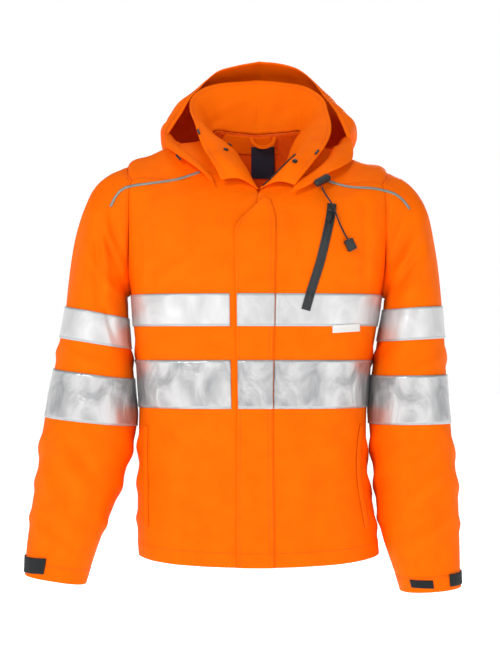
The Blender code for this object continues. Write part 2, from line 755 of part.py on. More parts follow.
# Reflective piping just under the front edge of each saddle and on over the sleeve head.
PIPING_HALF_WIDTH = 1.5 * MM
PIPING_CLOTH = 1.0 * MM
PIPING_LINES = {
    # x z places on the body, then ring and turn places on the sleeve
    "left": (
        ((107, -30), (120, -35), (133, -39), (151, -42), (168, -42), (181, -43), (192, -45)),
        ((0.2, -54), (0.8, -57)),
    ),
    "right": (
        ((-88, -17), (-108, -24), (-128, -30), (-150, -34), (-168, -36), (-180, -37), (-190, -38)),
        ((0.05, -58), (0.5, -62)),
    ),
}
for side, (body_line, sleeve_line) in PIPING_LINES.items():
    line, normals = [], []
    for x, z in body_line:
        place = place_at(x, z)
        line.append(on_body(*place, out=PIPING_CLOTH + 3.2 * REST_GAP))
        normals.append(body_normal(*place))
    for at, angle in sleeve_line:
        point, normal = sleeve_place(SLEEVES[side], at, angle, PIPING_CLOTH + 4 * REST_GAP)
        line.append(point)
        normals.append(normal)
    sideways = []
    for number, normal in enumerate(normals):
        ahead = line[min(number + 1, len(line) - 1)] - line[max(number - 1, 0)]
        sideways.append(normal.cross(ahead).normalized() * PIPING_HALF_WIDTH)
    ribbon("piping_" + side, line, sideways, normals, PIPING_CLOTH, SILVER)

# The front zip's upper end, where it shows along the wearer's left edge of the open collar.
COLLAR_ZIP_PATH = ((4, 0.1), (12, 0.22), (21, 0.36), (30, 0.5))
line, normals = zip(*[collar_place(-90 + away, part, 1.4 * MM) for away, part in COLLAR_ZIP_PATH])
sideways = [normal.cross(line[-1] - line[0]).normalized() * 2.5 * MM for normal in normals]
ribbon("collar_zip", line, sideways, normals, 1.0 * MM, BLACK)

# Press studs: one on the wearer's right of the collar, one at its edge, one on the flap's inner side.
STUDS = (("stud_right", -128, 0.5, 0.3), ("stud_edge", -147, 0.14, 1.3), ("stud_flap", -70, 0.62, 1.1))
for name, turn, part, over in STUDS:
    centre, normal = collar_place(turn, part, over * MM)
    disc(name, 4, 2, centre, normal, BLACK)

# The ends of the zip that holds the hood on, seen at the collar's edge on both sides.
for side, turn, part in (("left", -54, 0.93), ("right", -152, 0.95)):
    centre, normal = collar_place(turn, part, 1.3 * MM)
    along = edge_point(COLLAR_EDGE, turn + 4) - edge_point(COLLAR_EDGE, turn - 4)
    block("hood_zip_end_" + side, (12, 3.4, 1.8), centre, along.normalized(), normal, BLACK, 0.5)

# Cord lock on the hood's rim, the cord that hangs out of it over the slider, and the cord's end piece.
LOCK_SIZE = (29, 11, 9)
LOCK_TURN = -90 + 24
out = body_normal(*place_at(98, -34))
along = (edge_point(HOOD_RIM, LOCK_TURN + 6) - edge_point(HOOD_RIM, LOCK_TURN - 6)).normalized()
lock_centre = edge_point(HOOD_RIM, LOCK_TURN) + out * (LOCK_SIZE[2] / 2 + 3.1) * MM
lock_centre += Vector((1, 0, -7.5)) * MM
block("cord_lock", LOCK_SIZE, lock_centre, along, out, BLACK, 1.6, 2)

# The tail of the hood's cord on the other side, just outside the rim.
tail = edge_point(HOOD_RIM, -90 - 42)
along = (edge_point(HOOD_RIM, -90 - 50) - edge_point(HOOD_RIM, -90 - 34)).normalized()
tail_centre = tail + Vector((0.2, -1, -0.9)) * 3.2 * MM
block("cord_tail", (13, 3.2, 3.2), tail_centre, along, Vector((0, -1, 0.3)), BLACK, 0.9)

# The cord hangs out of the lock, lies across the slider and ends in a moulded grip.
CORD_DIAMETER = 2.5 * MM
CORD_ROUTE = (
    # x y z
    (98.6, -97.4, -41.2),
    (100.6, -97.8, -46.2),
    (103.2, -98.9, -51.6),
    (106.4, -102.4, -57.0),
    (109.5, -108.6, -62.2),
    (112.3, -113.8, -67.3),
    (115.0, -116.4, -73.0),
    (117.6, -118.6, -79.2),
    (120.0, -119.0, -85.8),
    (122.6, -117.8, -93.0),
    (125.8, -117.1, -100.6),
    (129.6, -117.2, -108.6),
    (133.6, -117.8, -116.6),
    (137.0, -118.6, -122.6),
)
CORD_STEPS = 22
spline_data = bpy.data.curves.new("hood_cord", "CURVE")
spline_data.dimensions = "3D"
spline_data.bevel_depth = CORD_DIAMETER / 2
spline_data.bevel_resolution = 2
spline_data.use_fill_caps = True
spline = spline_data.splines.new("POLY")
spline.points.add(CORD_STEPS)
for step in range(CORD_STEPS + 1):
    spot = Vector(table_row(CORD_ROUTE, (len(CORD_ROUTE) - 1) * step / CORD_STEPS)) * MM
    spline.points[step].co = (*spot, 1)
cord = bpy.data.objects.new("hood_cord", spline_data)
bpy.context.collection.objects.link(cord)
material = bpy.data.materials.new("hood_cord")
material.use_nodes = True
material.node_tree.nodes["Principled BSDF"].inputs["Base Color"].default_value = (*BLACK, 1)
spline_data.materials.append(material)

END_SIZE = (15, 19, 8)
cord_stop = Vector(CORD_ROUTE[-1]) * MM
cord_run = (cord_stop - Vector(CORD_ROUTE[-2]) * MM).normalized()
out = body_normal(*place_at(141, -131))
cord_run = (cord_run - out * cord_run.dot(out)).normalized()
block(
    "cord_end",
    END_SIZE,
    cord_stop + cord_run * (END_SIZE[1] / 2 + 0.4) * MM,
    cord_run.cross(out),
    out,
    BLACK,
    2,
    2,
)

# Hook and loop tabs round the outside of the cuffs, and a woven label on the left cuff.
CUFF_TABS = (("left", (-637, -639), (-656, -658)), ("right", (-613, -612), (-637, -636)))
for side, top, low in CUFF_TABS:
    turns = [24, 8, -8, -24, -40, -58]
    lift = 1.6 * MM + 3 * REST_GAP
    sleeve_band("cuff_tab_" + side, side, turns, (top, low), 1.6 * MM, BLACK, lift, closed=False)
CUFF_LABEL_TURNS = [-88, -100, -114, -130]
CUFF_LABEL_EDGES = ((-646, -646), (-658, -659))
sleeve_band("cuff_label", "left", CUFF_LABEL_TURNS, CUFF_LABEL_EDGES, 0.8 * MM, BLACK, 1.7 * MM, closed=False)

# Inside the back neck: the facing, the woven neck label and the loop to hang the jacket by.
FACING_CLOTH = 1.0 * MM
FACING_LIFT = -(CLOTH + REST_GAP)
body_panel("neck_facing", (13.2, 13.6, 13.92), lambda level: (54, 126), 8, FACING_CLOTH, ORANGE, FACING_LIFT)
LABEL_CLOTH = 0.8 * MM
LABEL_HEIGHTS = (38, 24, 8, -12)
rows = [[(x, z) for x in (-9, 10, 29)] for z in LABEL_HEIGHTS]
label_lift = CLOTH + FACING_CLOTH + 3 * REST_GAP + LABEL_CLOTH
front_patch("neck_label", rows, label_lift, LABEL_CLOTH, NAVY, in_front=False)
LOOP_PATH = (
    (-10, 63, 51),
    (-6, 62.6, 42),
    (2, 62.4, 36),
    (10, 62.3, 34.5),
    (18, 62.4, 36),
    (26, 62.4, 42),
    (29, 61.8, 51),
)
line = [Vector(point) * MM for point in LOOP_PATH]
sideways = []
for number in range(len(line)):
    ahead = line[min(number + 1, len(line) - 1)] - line[max(number - 1, 0)]
    sideways.append(Vector((-ahead.z, 0, ahead.x)).normalized() * 3 * MM)
ribbon("hanger_loop", line, sideways, [Vector((0, -1, 0))] * len(line), 1.2 * MM, ORANGE)
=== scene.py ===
"""Hi-vis work jacket, filled out as if worn: the pieces that are seen, over the CAD frame.

Front towards -Y, wearer's left towards +X, origin at the base of the neck. The tables are in
millimetres and degrees; everything that is built is in metres.
"""

import math

import bpy
import numpy as np
from mathutils import Matrix, Vector, noise
from mathutils.bvhtree import BVHTree


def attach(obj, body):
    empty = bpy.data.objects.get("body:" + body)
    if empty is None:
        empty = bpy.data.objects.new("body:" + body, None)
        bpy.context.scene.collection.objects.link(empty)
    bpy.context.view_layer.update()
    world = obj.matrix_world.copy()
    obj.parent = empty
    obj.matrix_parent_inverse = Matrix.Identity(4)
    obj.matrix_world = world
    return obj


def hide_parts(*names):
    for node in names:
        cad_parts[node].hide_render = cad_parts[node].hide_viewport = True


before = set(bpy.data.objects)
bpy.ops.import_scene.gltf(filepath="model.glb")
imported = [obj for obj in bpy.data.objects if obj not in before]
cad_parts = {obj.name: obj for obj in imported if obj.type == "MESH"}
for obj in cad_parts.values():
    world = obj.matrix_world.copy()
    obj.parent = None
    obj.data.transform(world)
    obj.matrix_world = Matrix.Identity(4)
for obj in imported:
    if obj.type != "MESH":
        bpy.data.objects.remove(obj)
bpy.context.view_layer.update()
MM = 0.001

# ---------------------------------------------------------------------------
# Camera, floor and light. The camera stands level with the middle of the jacket, three metres off.
# A pale floor, large soft lights from the front, above and behind, and a surround that is bright below and
# round the horizon, dim higher up and grey overhead.
# ---------------------------------------------------------------------------


def linear(code):
    """An sRGB hex colour as linear values with alpha."""
    values = [int(code[i : i + 2], 16) / 255 for i in (1, 3, 5)]
    return (*[v / 12.92 if v <= 0.04045 else ((v + 0.055) / 1.055) ** 2.4 for v in values], 1)


scene = bpy.context.scene
camera_data = bpy.data.cameras.new("camera")
camera_data.sensor_width = 36
camera_data.lens = 102.5
camera_data.dof.use_dof = False
camera = bpy.data.objects.new("camera", camera_data)
camera.location = (-0.011, -3.0, -0.266)
camera.rotation_euler = (math.radians(90), 0, 0)
scene.collection.objects.link(camera)
scene.camera = camera
scene.view_settings.view_transform = "Standard"

world = bpy.data.worlds.new("studio surround")
world.use_nodes = True
surround = world.node_tree.nodes["Background"]
height = world.node_tree.nodes.new("ShaderNodeSeparateXYZ")
sky = world.node_tree.nodes.new("ShaderNodeTexCoord")
wall = world.node_tree.nodes.new("ShaderNodeValToRGB")
for position, grey in ((0.0, 1.0), (0.24, 1.0), (0.42, 0.16), (0.8, 0.2)):
    stop = wall.color_ramp.elements.new(position) if position else wall.color_ramp.elements[0]
    stop.color = (grey, grey, grey, 1)
wall.color_ramp.elements[-1].color = (0.55, 0.55, 0.55, 1)
world.node_tree.links.new(sky.outputs["Generated"], height.inputs[0])
world.node_tree.links.new(height.outputs["Z"], wall.inputs["Fac"])
world.node_tree.links.new(wall.outputs["Color"], surround.inputs["Color"])
surround.inputs["Strength"].default_value = 1.0
scene.world = world

LIGHTS = (
    # name x y z  size watts
    ("key", -1.3, -2.4, 1.2, 0.7, 29),
    ("fill", 1.9, -2.2, 0.2, 1.2, 4),
    ("top", 0.1, 0.3, 2.0, 1.2, 10),
    ("back", 0.6, 2.6, 0.8, 1.2, 26),
)
for name, x, y, z, size, watts in LIGHTS:
    light_data = bpy.data.lights.new(name, "AREA")
    light_data.shape = "DISK"
    light_data.size = size
    light_data.energy = watts
    light = bpy.data.objects.new(name, light_data)
    light.location = (x, y, z)
    light.rotation_euler = (Vector((0, 0, -0.25)) - Vector((x, y, z))).to_track_quat("-Z", "Y").to_euler()
    scene.collection.objects.link(light)

bpy.ops.mesh.primitive_plane_add(size=30, location=(0, 0, 0))
floor = bpy.context.object
floor.name = "floor"
floor.data.transform(Matrix.Translation((0, 0, -0.86)))

# ---------------------------------------------------------------------------
# Materials. Each is one function call; the cloth ones carry their weave at real size, from the flat
# cut's own coordinates in metres, and the moulded ones from the piece's own coordinates.
# ---------------------------------------------------------------------------


def new_node(tree, kind, links=(), **settings):
    """Adds a shader node, sets its properties or inputs by name, and links (input, socket) pairs."""
    node = tree.nodes.new(kind)
    for key, value in settings.items():
        label = key.replace("_", " ").title() if not hasattr(node, key) else key
        if hasattr(node, key):
            setattr(node, key, value)
        else:
            node.inputs[label].default_value = value
    for name, socket in links:
        tree.links.new(socket, node.inputs[name])
    return node


def surface(name, colour, roughness, metallic=0.0, sheen=0.0, coat=0.0, gloss=0.5):
    """A Principled material with its constant values set."""
    material = bpy.data.materials.new(name)
    material.use_nodes = True
    shader = material.node_tree.nodes["Principled BSDF"]
    shader.inputs["Base Color"].default_value = linear(colour)
    shader.inputs["Roughness"].default_value = roughness
    shader.inputs["Metallic"].default_value = metallic
    shader.inputs["Sheen Weight"].default_value = sheen
    shader.inputs["Specular IOR Level"].default_value = gloss
    shader.inputs["Coat Weight"].default_value = coat
    return material, material.node_tree, shader


def mixed_colour(tree, shader, factor, low, high):
    """Colours the shader between two colours by a factor."""
    ramp = new_node(tree, "ShaderNodeValToRGB", [("Fac", factor)])
    ramp.color_ramp.elements[0].color = linear(low)
    ramp.color_ramp.elements[1].color = linear(high)
    tree.links.new(ramp.outputs["Color"], shader.inputs["Base Color"])
    return ramp


def woven(name, colour, shade, roughness, pitch, depth, sheen=0.0, crinkle=0.0, gloss=0.15):
    """Plain-woven cloth: two sets of threads of the given pitch, in a soft mottle of two colours."""
    material, tree, shader = surface(name, colour, roughness, 0.0, sheen, 0.0, gloss)
    cut = new_node(tree, "ShaderNodeUVMap", uv_map="cut").outputs["UV"]
    mottle = new_node(tree, "ShaderNodeTexNoise", [("Vector", cut)], scale=28.0, detail=4.0)
    ramp = mixed_colour(tree, shader, mottle.outputs["Fac"], shade, colour)
    ramp.color_ramp.elements[0].position = 0.3
    ramp.color_ramp.elements[1].position = 0.62
    threads = []
    for direction in ("X", "Y"):
        wave = new_node(
            tree,
            "ShaderNodeTexWave",
            [("Vector", cut)],
            bands_direction=direction,
            scale=0.314 / pitch,
            distortion=0.15,
        )
        threads.append(wave.outputs["Fac"])
    both = new_node(tree, "ShaderNodeMath", [(0, threads[0]), (1, threads[1])], operation="MULTIPLY")
    bump = new_node(tree, "ShaderNodeBump", [("Height", both.outputs[0])], strength=0.25, distance=depth)
    if crinkle:
        place = [("Vector", cut)]
        rough = new_node(tree, "ShaderNodeTexNoise", place, scale=130.0, detail=5.0, roughness=0.6)
        second = new_node(
            tree,
            "ShaderNodeBump",
            [("Height", rough.outputs["Fac"]), ("Normal", bump.outputs["Normal"])],
            strength=0.5,
            distance=crinkle,
        )
        bump = second
    tree.links.new(bump.outputs["Normal"], shader.inputs["Normal"])
    return material


def moulded(name, colour, roughness, grain, depth, metallic=0.0, coat=0.0):
    """A moulded or coated surface with a fine grain."""
    material, tree, shader = surface(name, colour, roughness, metallic, 0.0, coat)
    place = new_node(tree, "ShaderNodeTexCoord").outputs["Object"]
    fine = new_node(tree, "ShaderNodeTexNoise", [("Vector", place)], scale=1 / grain, detail=3.0)
    bump = new_node(tree, "ShaderNodeBump", [("Height", fine.outputs["Fac"])], strength=0.4, distance=depth)
    tree.links.new(bump.outputs["Normal"], shader.inputs["Normal"])
    return material


ORANGE = woven(
    "orange coated polyester, matt weave",
    "#FF6E00",
    "#FB6800",
    0.66,
    0.0009,
    0.0002,
    crinkle=0.0006,
    gloss=0.05,
)
# The lining is a smoother taffeta weave, but its colour is the shell orange made darker and redder: painted
# shade for the inside of the jacket.
PAINTED_SHADE_LINING = woven("orange lining taffeta, soft sheen, darker as painted shade", "#F55A00", "#E85000", 0.5, 0.0006, 0.0001)
NAVY = woven("navy woven label, satin", "#2A3140", "#232937", 0.5, 0.0005, 0.0001, 0.1)
WHITE = woven("white woven label, matt", "#E9E9E6", "#DDDDDA", 0.7, 0.0005, 0.0001, 0.1)
BLACK_LABEL = woven("black woven label, matt", "#25282A", "#1D2022", 0.7, 0.0005, 0.0001, 0.1)
CORDAGE = woven("black braided polyester cord, matt", "#2A2D2F", "#141618", 0.75, 0.0012, 0.0004, 0.2)
THREAD = moulded("orange polyester thread, matt", "#D95400", 0.75, 0.0006, 0.0001)
TAPE_THREAD = moulded("grey polyester thread, matt", "#B9BDBD", 0.7, 0.0006, 0.0001)
PLASTIC = moulded("black moulded nylon, satin", "#1F2224", 0.42, 0.0012, 0.00006)
STUD = moulded("black lacquered steel, semi-gloss", "#232628", 0.3, 0.003, 0.00002, 0.5)
COATED = moulded("black coated zip tape, semi-matt", "#1E2123", 0.4, 0.0016, 0.00012)
PIPING = moulded("grey reflective piping, satin", "#84908B", 0.42, 0.0007, 0.0001, 0.35)
NAP = moulded("black hook and loop, matt nap", "#1E2224", 0.95, 0.0008, 0.0012)
PAPER = moulded("pale studio floor, matt", "#FFFFFF", 0.9, 0.01, 0.00001)
PAPER.node_tree.nodes["Principled BSDF"].inputs["Emission Color"].default_value = linear("#FFFFFF")
PAPER.node_tree.nodes["Principled BSDF"].inputs["Emission Strength"].default_value = 0.75
floor.data.materials.append(PAPER)


def reflective(name, light, crease_shade, roughness, metallic, depth):
    """Glass-bead tape: a fine grain of beads, creases across its length, a flat border along each edge. The
    colour is darker in the hollows of the creases, as painted shade.
    """
    material, tree, shader = surface(name, light, roughness, metallic)
    cut = new_node(tree, "ShaderNodeUVMap", uv_map="cut").outputs["UV"]
    edge = new_node(tree, "ShaderNodeAttribute", attribute_name="edge").outputs["Fac"]
    long = new_node(tree, "ShaderNodeMapping", [("Vector", cut)])
    long.inputs["Scale"].default_value = (0.8, 0.5, 1.0)
    long.inputs["Rotation"].default_value = (0, 0, 0.6)
    crease = new_node(
        tree,
        "ShaderNodeTexNoise",
        [("Vector", long.outputs[0])],
        scale=34.0,
        detail=3.0,
        roughness=0.5,
        distortion=0.6,
    )
    # Painted shade: the same crease noise that bumps the tape darkens its hollows towards the second colour.
    painted_crease_shade = new_node(tree, "ShaderNodeValToRGB", [("Fac", crease.outputs["Fac"])])
    painted_crease_shade.color_ramp.elements[0].color = linear(crease_shade)
    painted_crease_shade.color_ramp.elements[0].position = 0.34
    painted_crease_shade.color_ramp.elements[1].color = linear(light)
    painted_crease_shade.color_ramp.elements[1].position = 0.6
    border = new_node(tree, "ShaderNodeValToRGB", [("Fac", edge)])
    border.color_ramp.interpolation = "CONSTANT"
    border.color_ramp.elements[0].color = (1, 1, 1, 1)
    border.color_ramp.elements[1].color = (0, 0, 0, 1)
    border.color_ramp.elements[1].position = 0.0019
    both = new_node(tree, "ShaderNodeMix", data_type="RGBA")
    tree.links.new(border.outputs["Color"], both.inputs[0])
    tree.links.new(painted_crease_shade.outputs["Color"], both.inputs[6])
    both.inputs[7].default_value = linear("#C4CACB")
    tree.links.new(both.outputs[2], shader.inputs["Base Color"])
    beads = new_node(tree, "ShaderNodeTexVoronoi", [("Vector", cut)], scale=1500.0)
    bead = [("Height", beads.outputs["Distance"])]
    first = new_node(tree, "ShaderNodeBump", bead, strength=0.2, distance=0.0001)
    second = new_node(
        tree,
        "ShaderNodeBump",
        [("Height", crease.outputs["Fac"]), ("Normal", first.outputs["Normal"])],
        strength=1.0,
        distance=depth,
    )
    tree.links.new(second.outputs["Normal"], shader.inputs["Normal"])
    return material


# The second colour of each tape is painted shade in the hollows of its creases.
TAPE_UPPER = reflective("silver glass-bead tape, smooth, painted crease shade", "#DEDEDE", "#CACACB", 0.42, 0.45, 0.0024)
TAPE_LOWER = reflective("silver glass-bead tape, creased, painted crease shade", "#D2D2D2", "#A2A3A5", 0.36, 0.6, 0.006)

# ---------------------------------------------------------------------------
# The form of the jacket: the same tables as the CAD, and smooth surfaces through them. Every piece of
# cloth below takes its points from these, so that what lies on a panel follows it.
# ---------------------------------------------------------------------------
# The body, a row for each level from the hem to the neck: how far it reaches to the wearer's right,
# left, front and back, its height at those four places, and how square the ring is.
BODY = (
    # right left front back  z_right z_left z_front z_back square
    (184, 190, 128, 122, -612, -611, -621, -640, 2.5),
    (188, 187, 129, 123, -560, -560, -562, -566, 2.5),
    (187, 178, 130, 123, -500, -500, -500, -502, 2.5),
    (185, 173, 131, 122, -440, -440, -440, -441, 2.5),
    (184, 172, 131, 121, -381, -381, -380, -381, 2.6),
    (187, 174, 131, 121, -343, -343, -343, -343, 2.7),
    (190, 178, 131, 122, -307, -307, -306, -307, 2.8),
    (194, 187, 130, 123, -255, -255, -255, -255, 2.9),
    (197, 194, 129, 124, -206, -206, -205, -206, 3.1),
    (204, 203, 127, 125, -150, -150, -152, -150, 3.3),
    (207, 207, 122, 123, -85, -90, -112, -95, 3.3),
    (205, 205, 112, 114, -2, -12, -90, -52, 3.0),
    (165, 165, 104, 106, 17, 3, -69, -18, 2.5),
    (125, 125, 97, 92, 32, 22, -56, 18, 2.3),
)
ARMPIT = 8
SHOULDER = 11
NECK = 14
FRONT_RISE = 1.7

# The neck seam, a row for each direction counted from the centre front: the wearer's left, then right.
NECK_SEAM = (
    # turn  xl   yl   zl    xr   yr   zr
    (0, 2, -86, -48, 2, -86, -48),
    (15, 22, -76, -29, -8, -79, -32),
    (30, 38, -63, -14, -17, -69, -15),
    (45, 48, -46, 3, -27, -55, 2),
    (60, 53, -30, 20, -38, -40, 19),
    (78, 62, -8, 37, -58, -16, 33),
    (98, 70, 14, 49, -70, 10, 45),
    (125, 66, 42, 59, -66, 42, 60),
    (152, 38, 61, 58, -38, 61, 58),
    (180, 0, 68, 55, 0, 68, 55),
)

# The collar's top edge in the same directions, and how far the cloth rolls out between seam and edge.
COLLAR_EDGE = (
    # turn  xl   yl   zl    xr   yr   zr  roll
    (0, 54, -102, -43, -54, -102, -35, 9),
    (15, 74, -93, -18, -62, -94, -16, 13),
    (30, 90, -72, 3, -72, -78, 1, 13),
    (45, 104, -50, 22, -81, -58, 16, 11),
    (60, 114, -28, 42, -90, -38, 38, 8),
    (78, 117, -6, 62, -98, -14, 64, 6),
    (98, 113, 16, 86, -106, 14, 90, 5),
    (125, 104, 50, 114, -103, 50, 115, 4),
    (152, 68, 84, 137, -70, 84, 137, 4),
    (180, 0, 100, 146, 0, 100, 146, 4),
)

# The hood's free rim in the same directions.
HOOD_RIM = (
    # turn  xl   yl    zl     xr   yr    zr
    (0, 50, -104, -53, -65, -100, -40),
    (15, 78, -97, -41, -84, -94, -20),
    (30, 110, -84, -21, -106, -82, -4),
    (45, 132, -64, -8, -126, -60, 12),
    (60, 148, -26, 8, -144, -24, 30),
    (78, 144, 8, 42, -140, 14, 52),
    (98, 131, 38, 86, -124, 40, 86),
    (125, 108, 64, 124, -100, 64, 124),
    (152, 66, 86, 166, -62, 86, 162),
    (180, 4, 97, 179, 4, 97, 179),
)
# How far the hood's bag reaches out and how far it drops, as parts of what it does at the back.
HOOD_BAG = (
    # turn  reach  drop
    (0, 0, 0),
    (60, 0.03, 0),
    (78, 0.12, 0),
    (98, 0.32, 0),
    (125, 0.66, 0.34),
    (152, 0.92, 0.9),
    (180, 1, 1),
)
# The bag's outline behind the neck, from the neck edge down, round and up to the rim: the part of the
# way to the rim, the reach outwards and the rise.
HOOD_OUTLINE = (
    # way reach rise
    (0, 0, 0),
    (0, 50, -50),
    (0, 64, -100),
    (0, 82, -118),
    (0, 104, -88),
    (0.12, 110, -35),
    (0.5, 88, 0),
    (0.85, 46, 0),
    (1, 0, 0),
)

# The sleeves, a row for each ring below the armhole: the outer and the inner end of the ring, then
# half its depth from front to back and how far its middle lies behind the shoulder line.
SLEEVE_LEFT = (
    # x_out z_out x_in z_in depth y_mid
    (228, -22, 203, -210, 68, 0),
    (250, -39, 202, -216, 70, -1),
    (266, -63, 201, -226, 72, -2),
    (275, -102, 199, -242, 74, -3),
    (282, -150, 195, -264, 76, -4),
    (288, -200, 190, -292, 77, -5),
    (293, -255, 183, -326, 76, -6),
    (297, -306, 179, -358, 75, -7),
    (300, -350, 176, -392, 74, -8),
    (305, -408, 177, -432, 72, -10),
    (312, -482, 182, -494, 68, -14),
    (318, -556, 190, -558, 62, -18),
    (320, -612, 207, -614, 55, -22),
    (319, -661, 224, -668, 50, -25),
)
SLEEVE_RIGHT = (
    # x_out z_out x_in z_in depth y_mid
    (-228, -13, -204, -210, 68, 0),
    (-250, -31, -204, -216, 70, -1),
    (-267, -58, -203, -226, 72, -2),
    (-279, -100, -202, -242, 74, -3),
    (-289, -150, -200, -264, 76, -4),
    (-298, -200, -198, -292, 77, -5),
    (-307, -255, -195, -326, 77, -6),
    (-315, -306, -193, -358, 76, -7),
    (-323, -352, -191, -392, 75, -8),
    (-333, -408, -194, -430, 73, -10),
    (-345, -490, -209, -490, 69, -14),
    (-355, -556, -232, -552, 62, -18),
    (-361, -604, -250, -602, 55, -22),
    (-363, -641, -267, -656, 50, -25),
)
SLEEVE_SQUARE = 2.3


def table_row(rows, at):
    """A row between the rows of a table, on a smooth curve through them."""
    last = len(rows) - 1
    first = min(max(int(at), 0), last - 1)
    part = at - first
    around = [rows[min(max(first + step, 0), last)] for step in (-1, 0, 1, 2)]
    return [
        0.5
        * (2 * b + (c - a) * part + (2 * a - 5 * b + 4 * c - d) * part**2 + (3 * b - a - 3 * c + d) * part**3)
        for a, b, c, d in zip(*around)
    ]


def keyed_row(rows, key):
    """The row for a key in the first column, without that column."""
    for number in range(len(rows) - 1):
        low, high = rows[number][0], rows[number + 1][0]
        if key <= high or number == len(rows) - 2:
            break
    return table_row(rows, number + (key - low) / (high - low))[1:]


def from_front(turn):
    """Degrees from the centre front, and whether it is on the wearer's left."""
    away = (turn + 90) % 360
    return (away, True) if away <= 180 else (360 - away, False)


def edge_point(rows, turn):
    """A point of a table that holds the wearer's left and right in x, y, z columns."""
    away, is_left = from_front(turn)
    row = keyed_row(rows, away)
    return Vector(row[0:3] if is_left else row[3:6]) * MM


def body_point(level, turn):
    """A point of the body: levels 0 to 13 are the table's rings and 14 is the neck seam."""
    top = len(BODY) - 1
    right, left, front, back, z_right, z_left, z_front, z_back, square = table_row(BODY, min(level, top))
    c = math.cos(math.radians(turn))
    s = math.sin(math.radians(turn))
    size = (abs(c) ** square + abs(s) ** square) ** (1 / square)
    z_side = z_left if c > 0 else z_right
    z_end = z_back if s > 0 else z_front
    x = c / size * (left if c > 0 else right)
    y = s / size * (back if s > 0 else front)
    point = Vector((x, y, z_side + (z_end - z_side) * abs(s) ** FRONT_RISE)) * MM
    if level > top:
        point = point.lerp(edge_point(NECK_SEAM, turn), (level - top) / (NECK - top))
    return point


def body_normal(level, turn):
    """Outward direction of the body's cloth."""
    up = body_point(min(level + 0.15, NECK), turn) - body_point(max(level - 0.15, 0), turn)
    round_it = body_point(level, turn + 2) - body_point(level, turn - 2)
    return round_it.cross(up).normalized()


def armhole_turn(level):
    """How far the armhole's edge stands from the side line, in degrees, at a level over the armpit."""
    part = min(max((level - ARMPIT) / (SHOULDER - ARMPIT), 0), 1)
    return 30 * (1 - (1 - part) ** 3) ** 0.6


def saddle_turn(level, behind):
    """How far the saddle's front or back edge stands from the side line, from shoulder to neck."""
    edges = ((30, 44, 48, 52), (30, 40, 46, 52))[behind]
    return table_row([(edge,) for edge in edges], level - SHOULDER)[0]


def side_turn(level, behind):
    """How far a front or back panel stays off the side line: nothing below the armpit."""
    return armhole_turn(level) if level <= SHOULDER else saddle_turn(level, behind)


def sleeve_point(rows, at, turn):
    """A point of a sleeve ring: turn 0 is its outer end, -90 its front."""
    x_out, z_out, x_in, z_in, depth, y_mid = table_row(rows, at)
    c = math.cos(math.radians(turn))
    s = math.sin(math.radians(turn))
    size = (abs(c) ** SLEEVE_SQUARE + abs(s) ** SLEEVE_SQUARE) ** (1 / SLEEVE_SQUARE)
    x = (x_out + x_in) / 2 + (x_out - x_in) / 2 * c / size
    z = (z_out + z_in) / 2 + (z_out - z_in) / 2 * c / size
    return Vector((x, y_mid + s / size * depth, z)) * MM


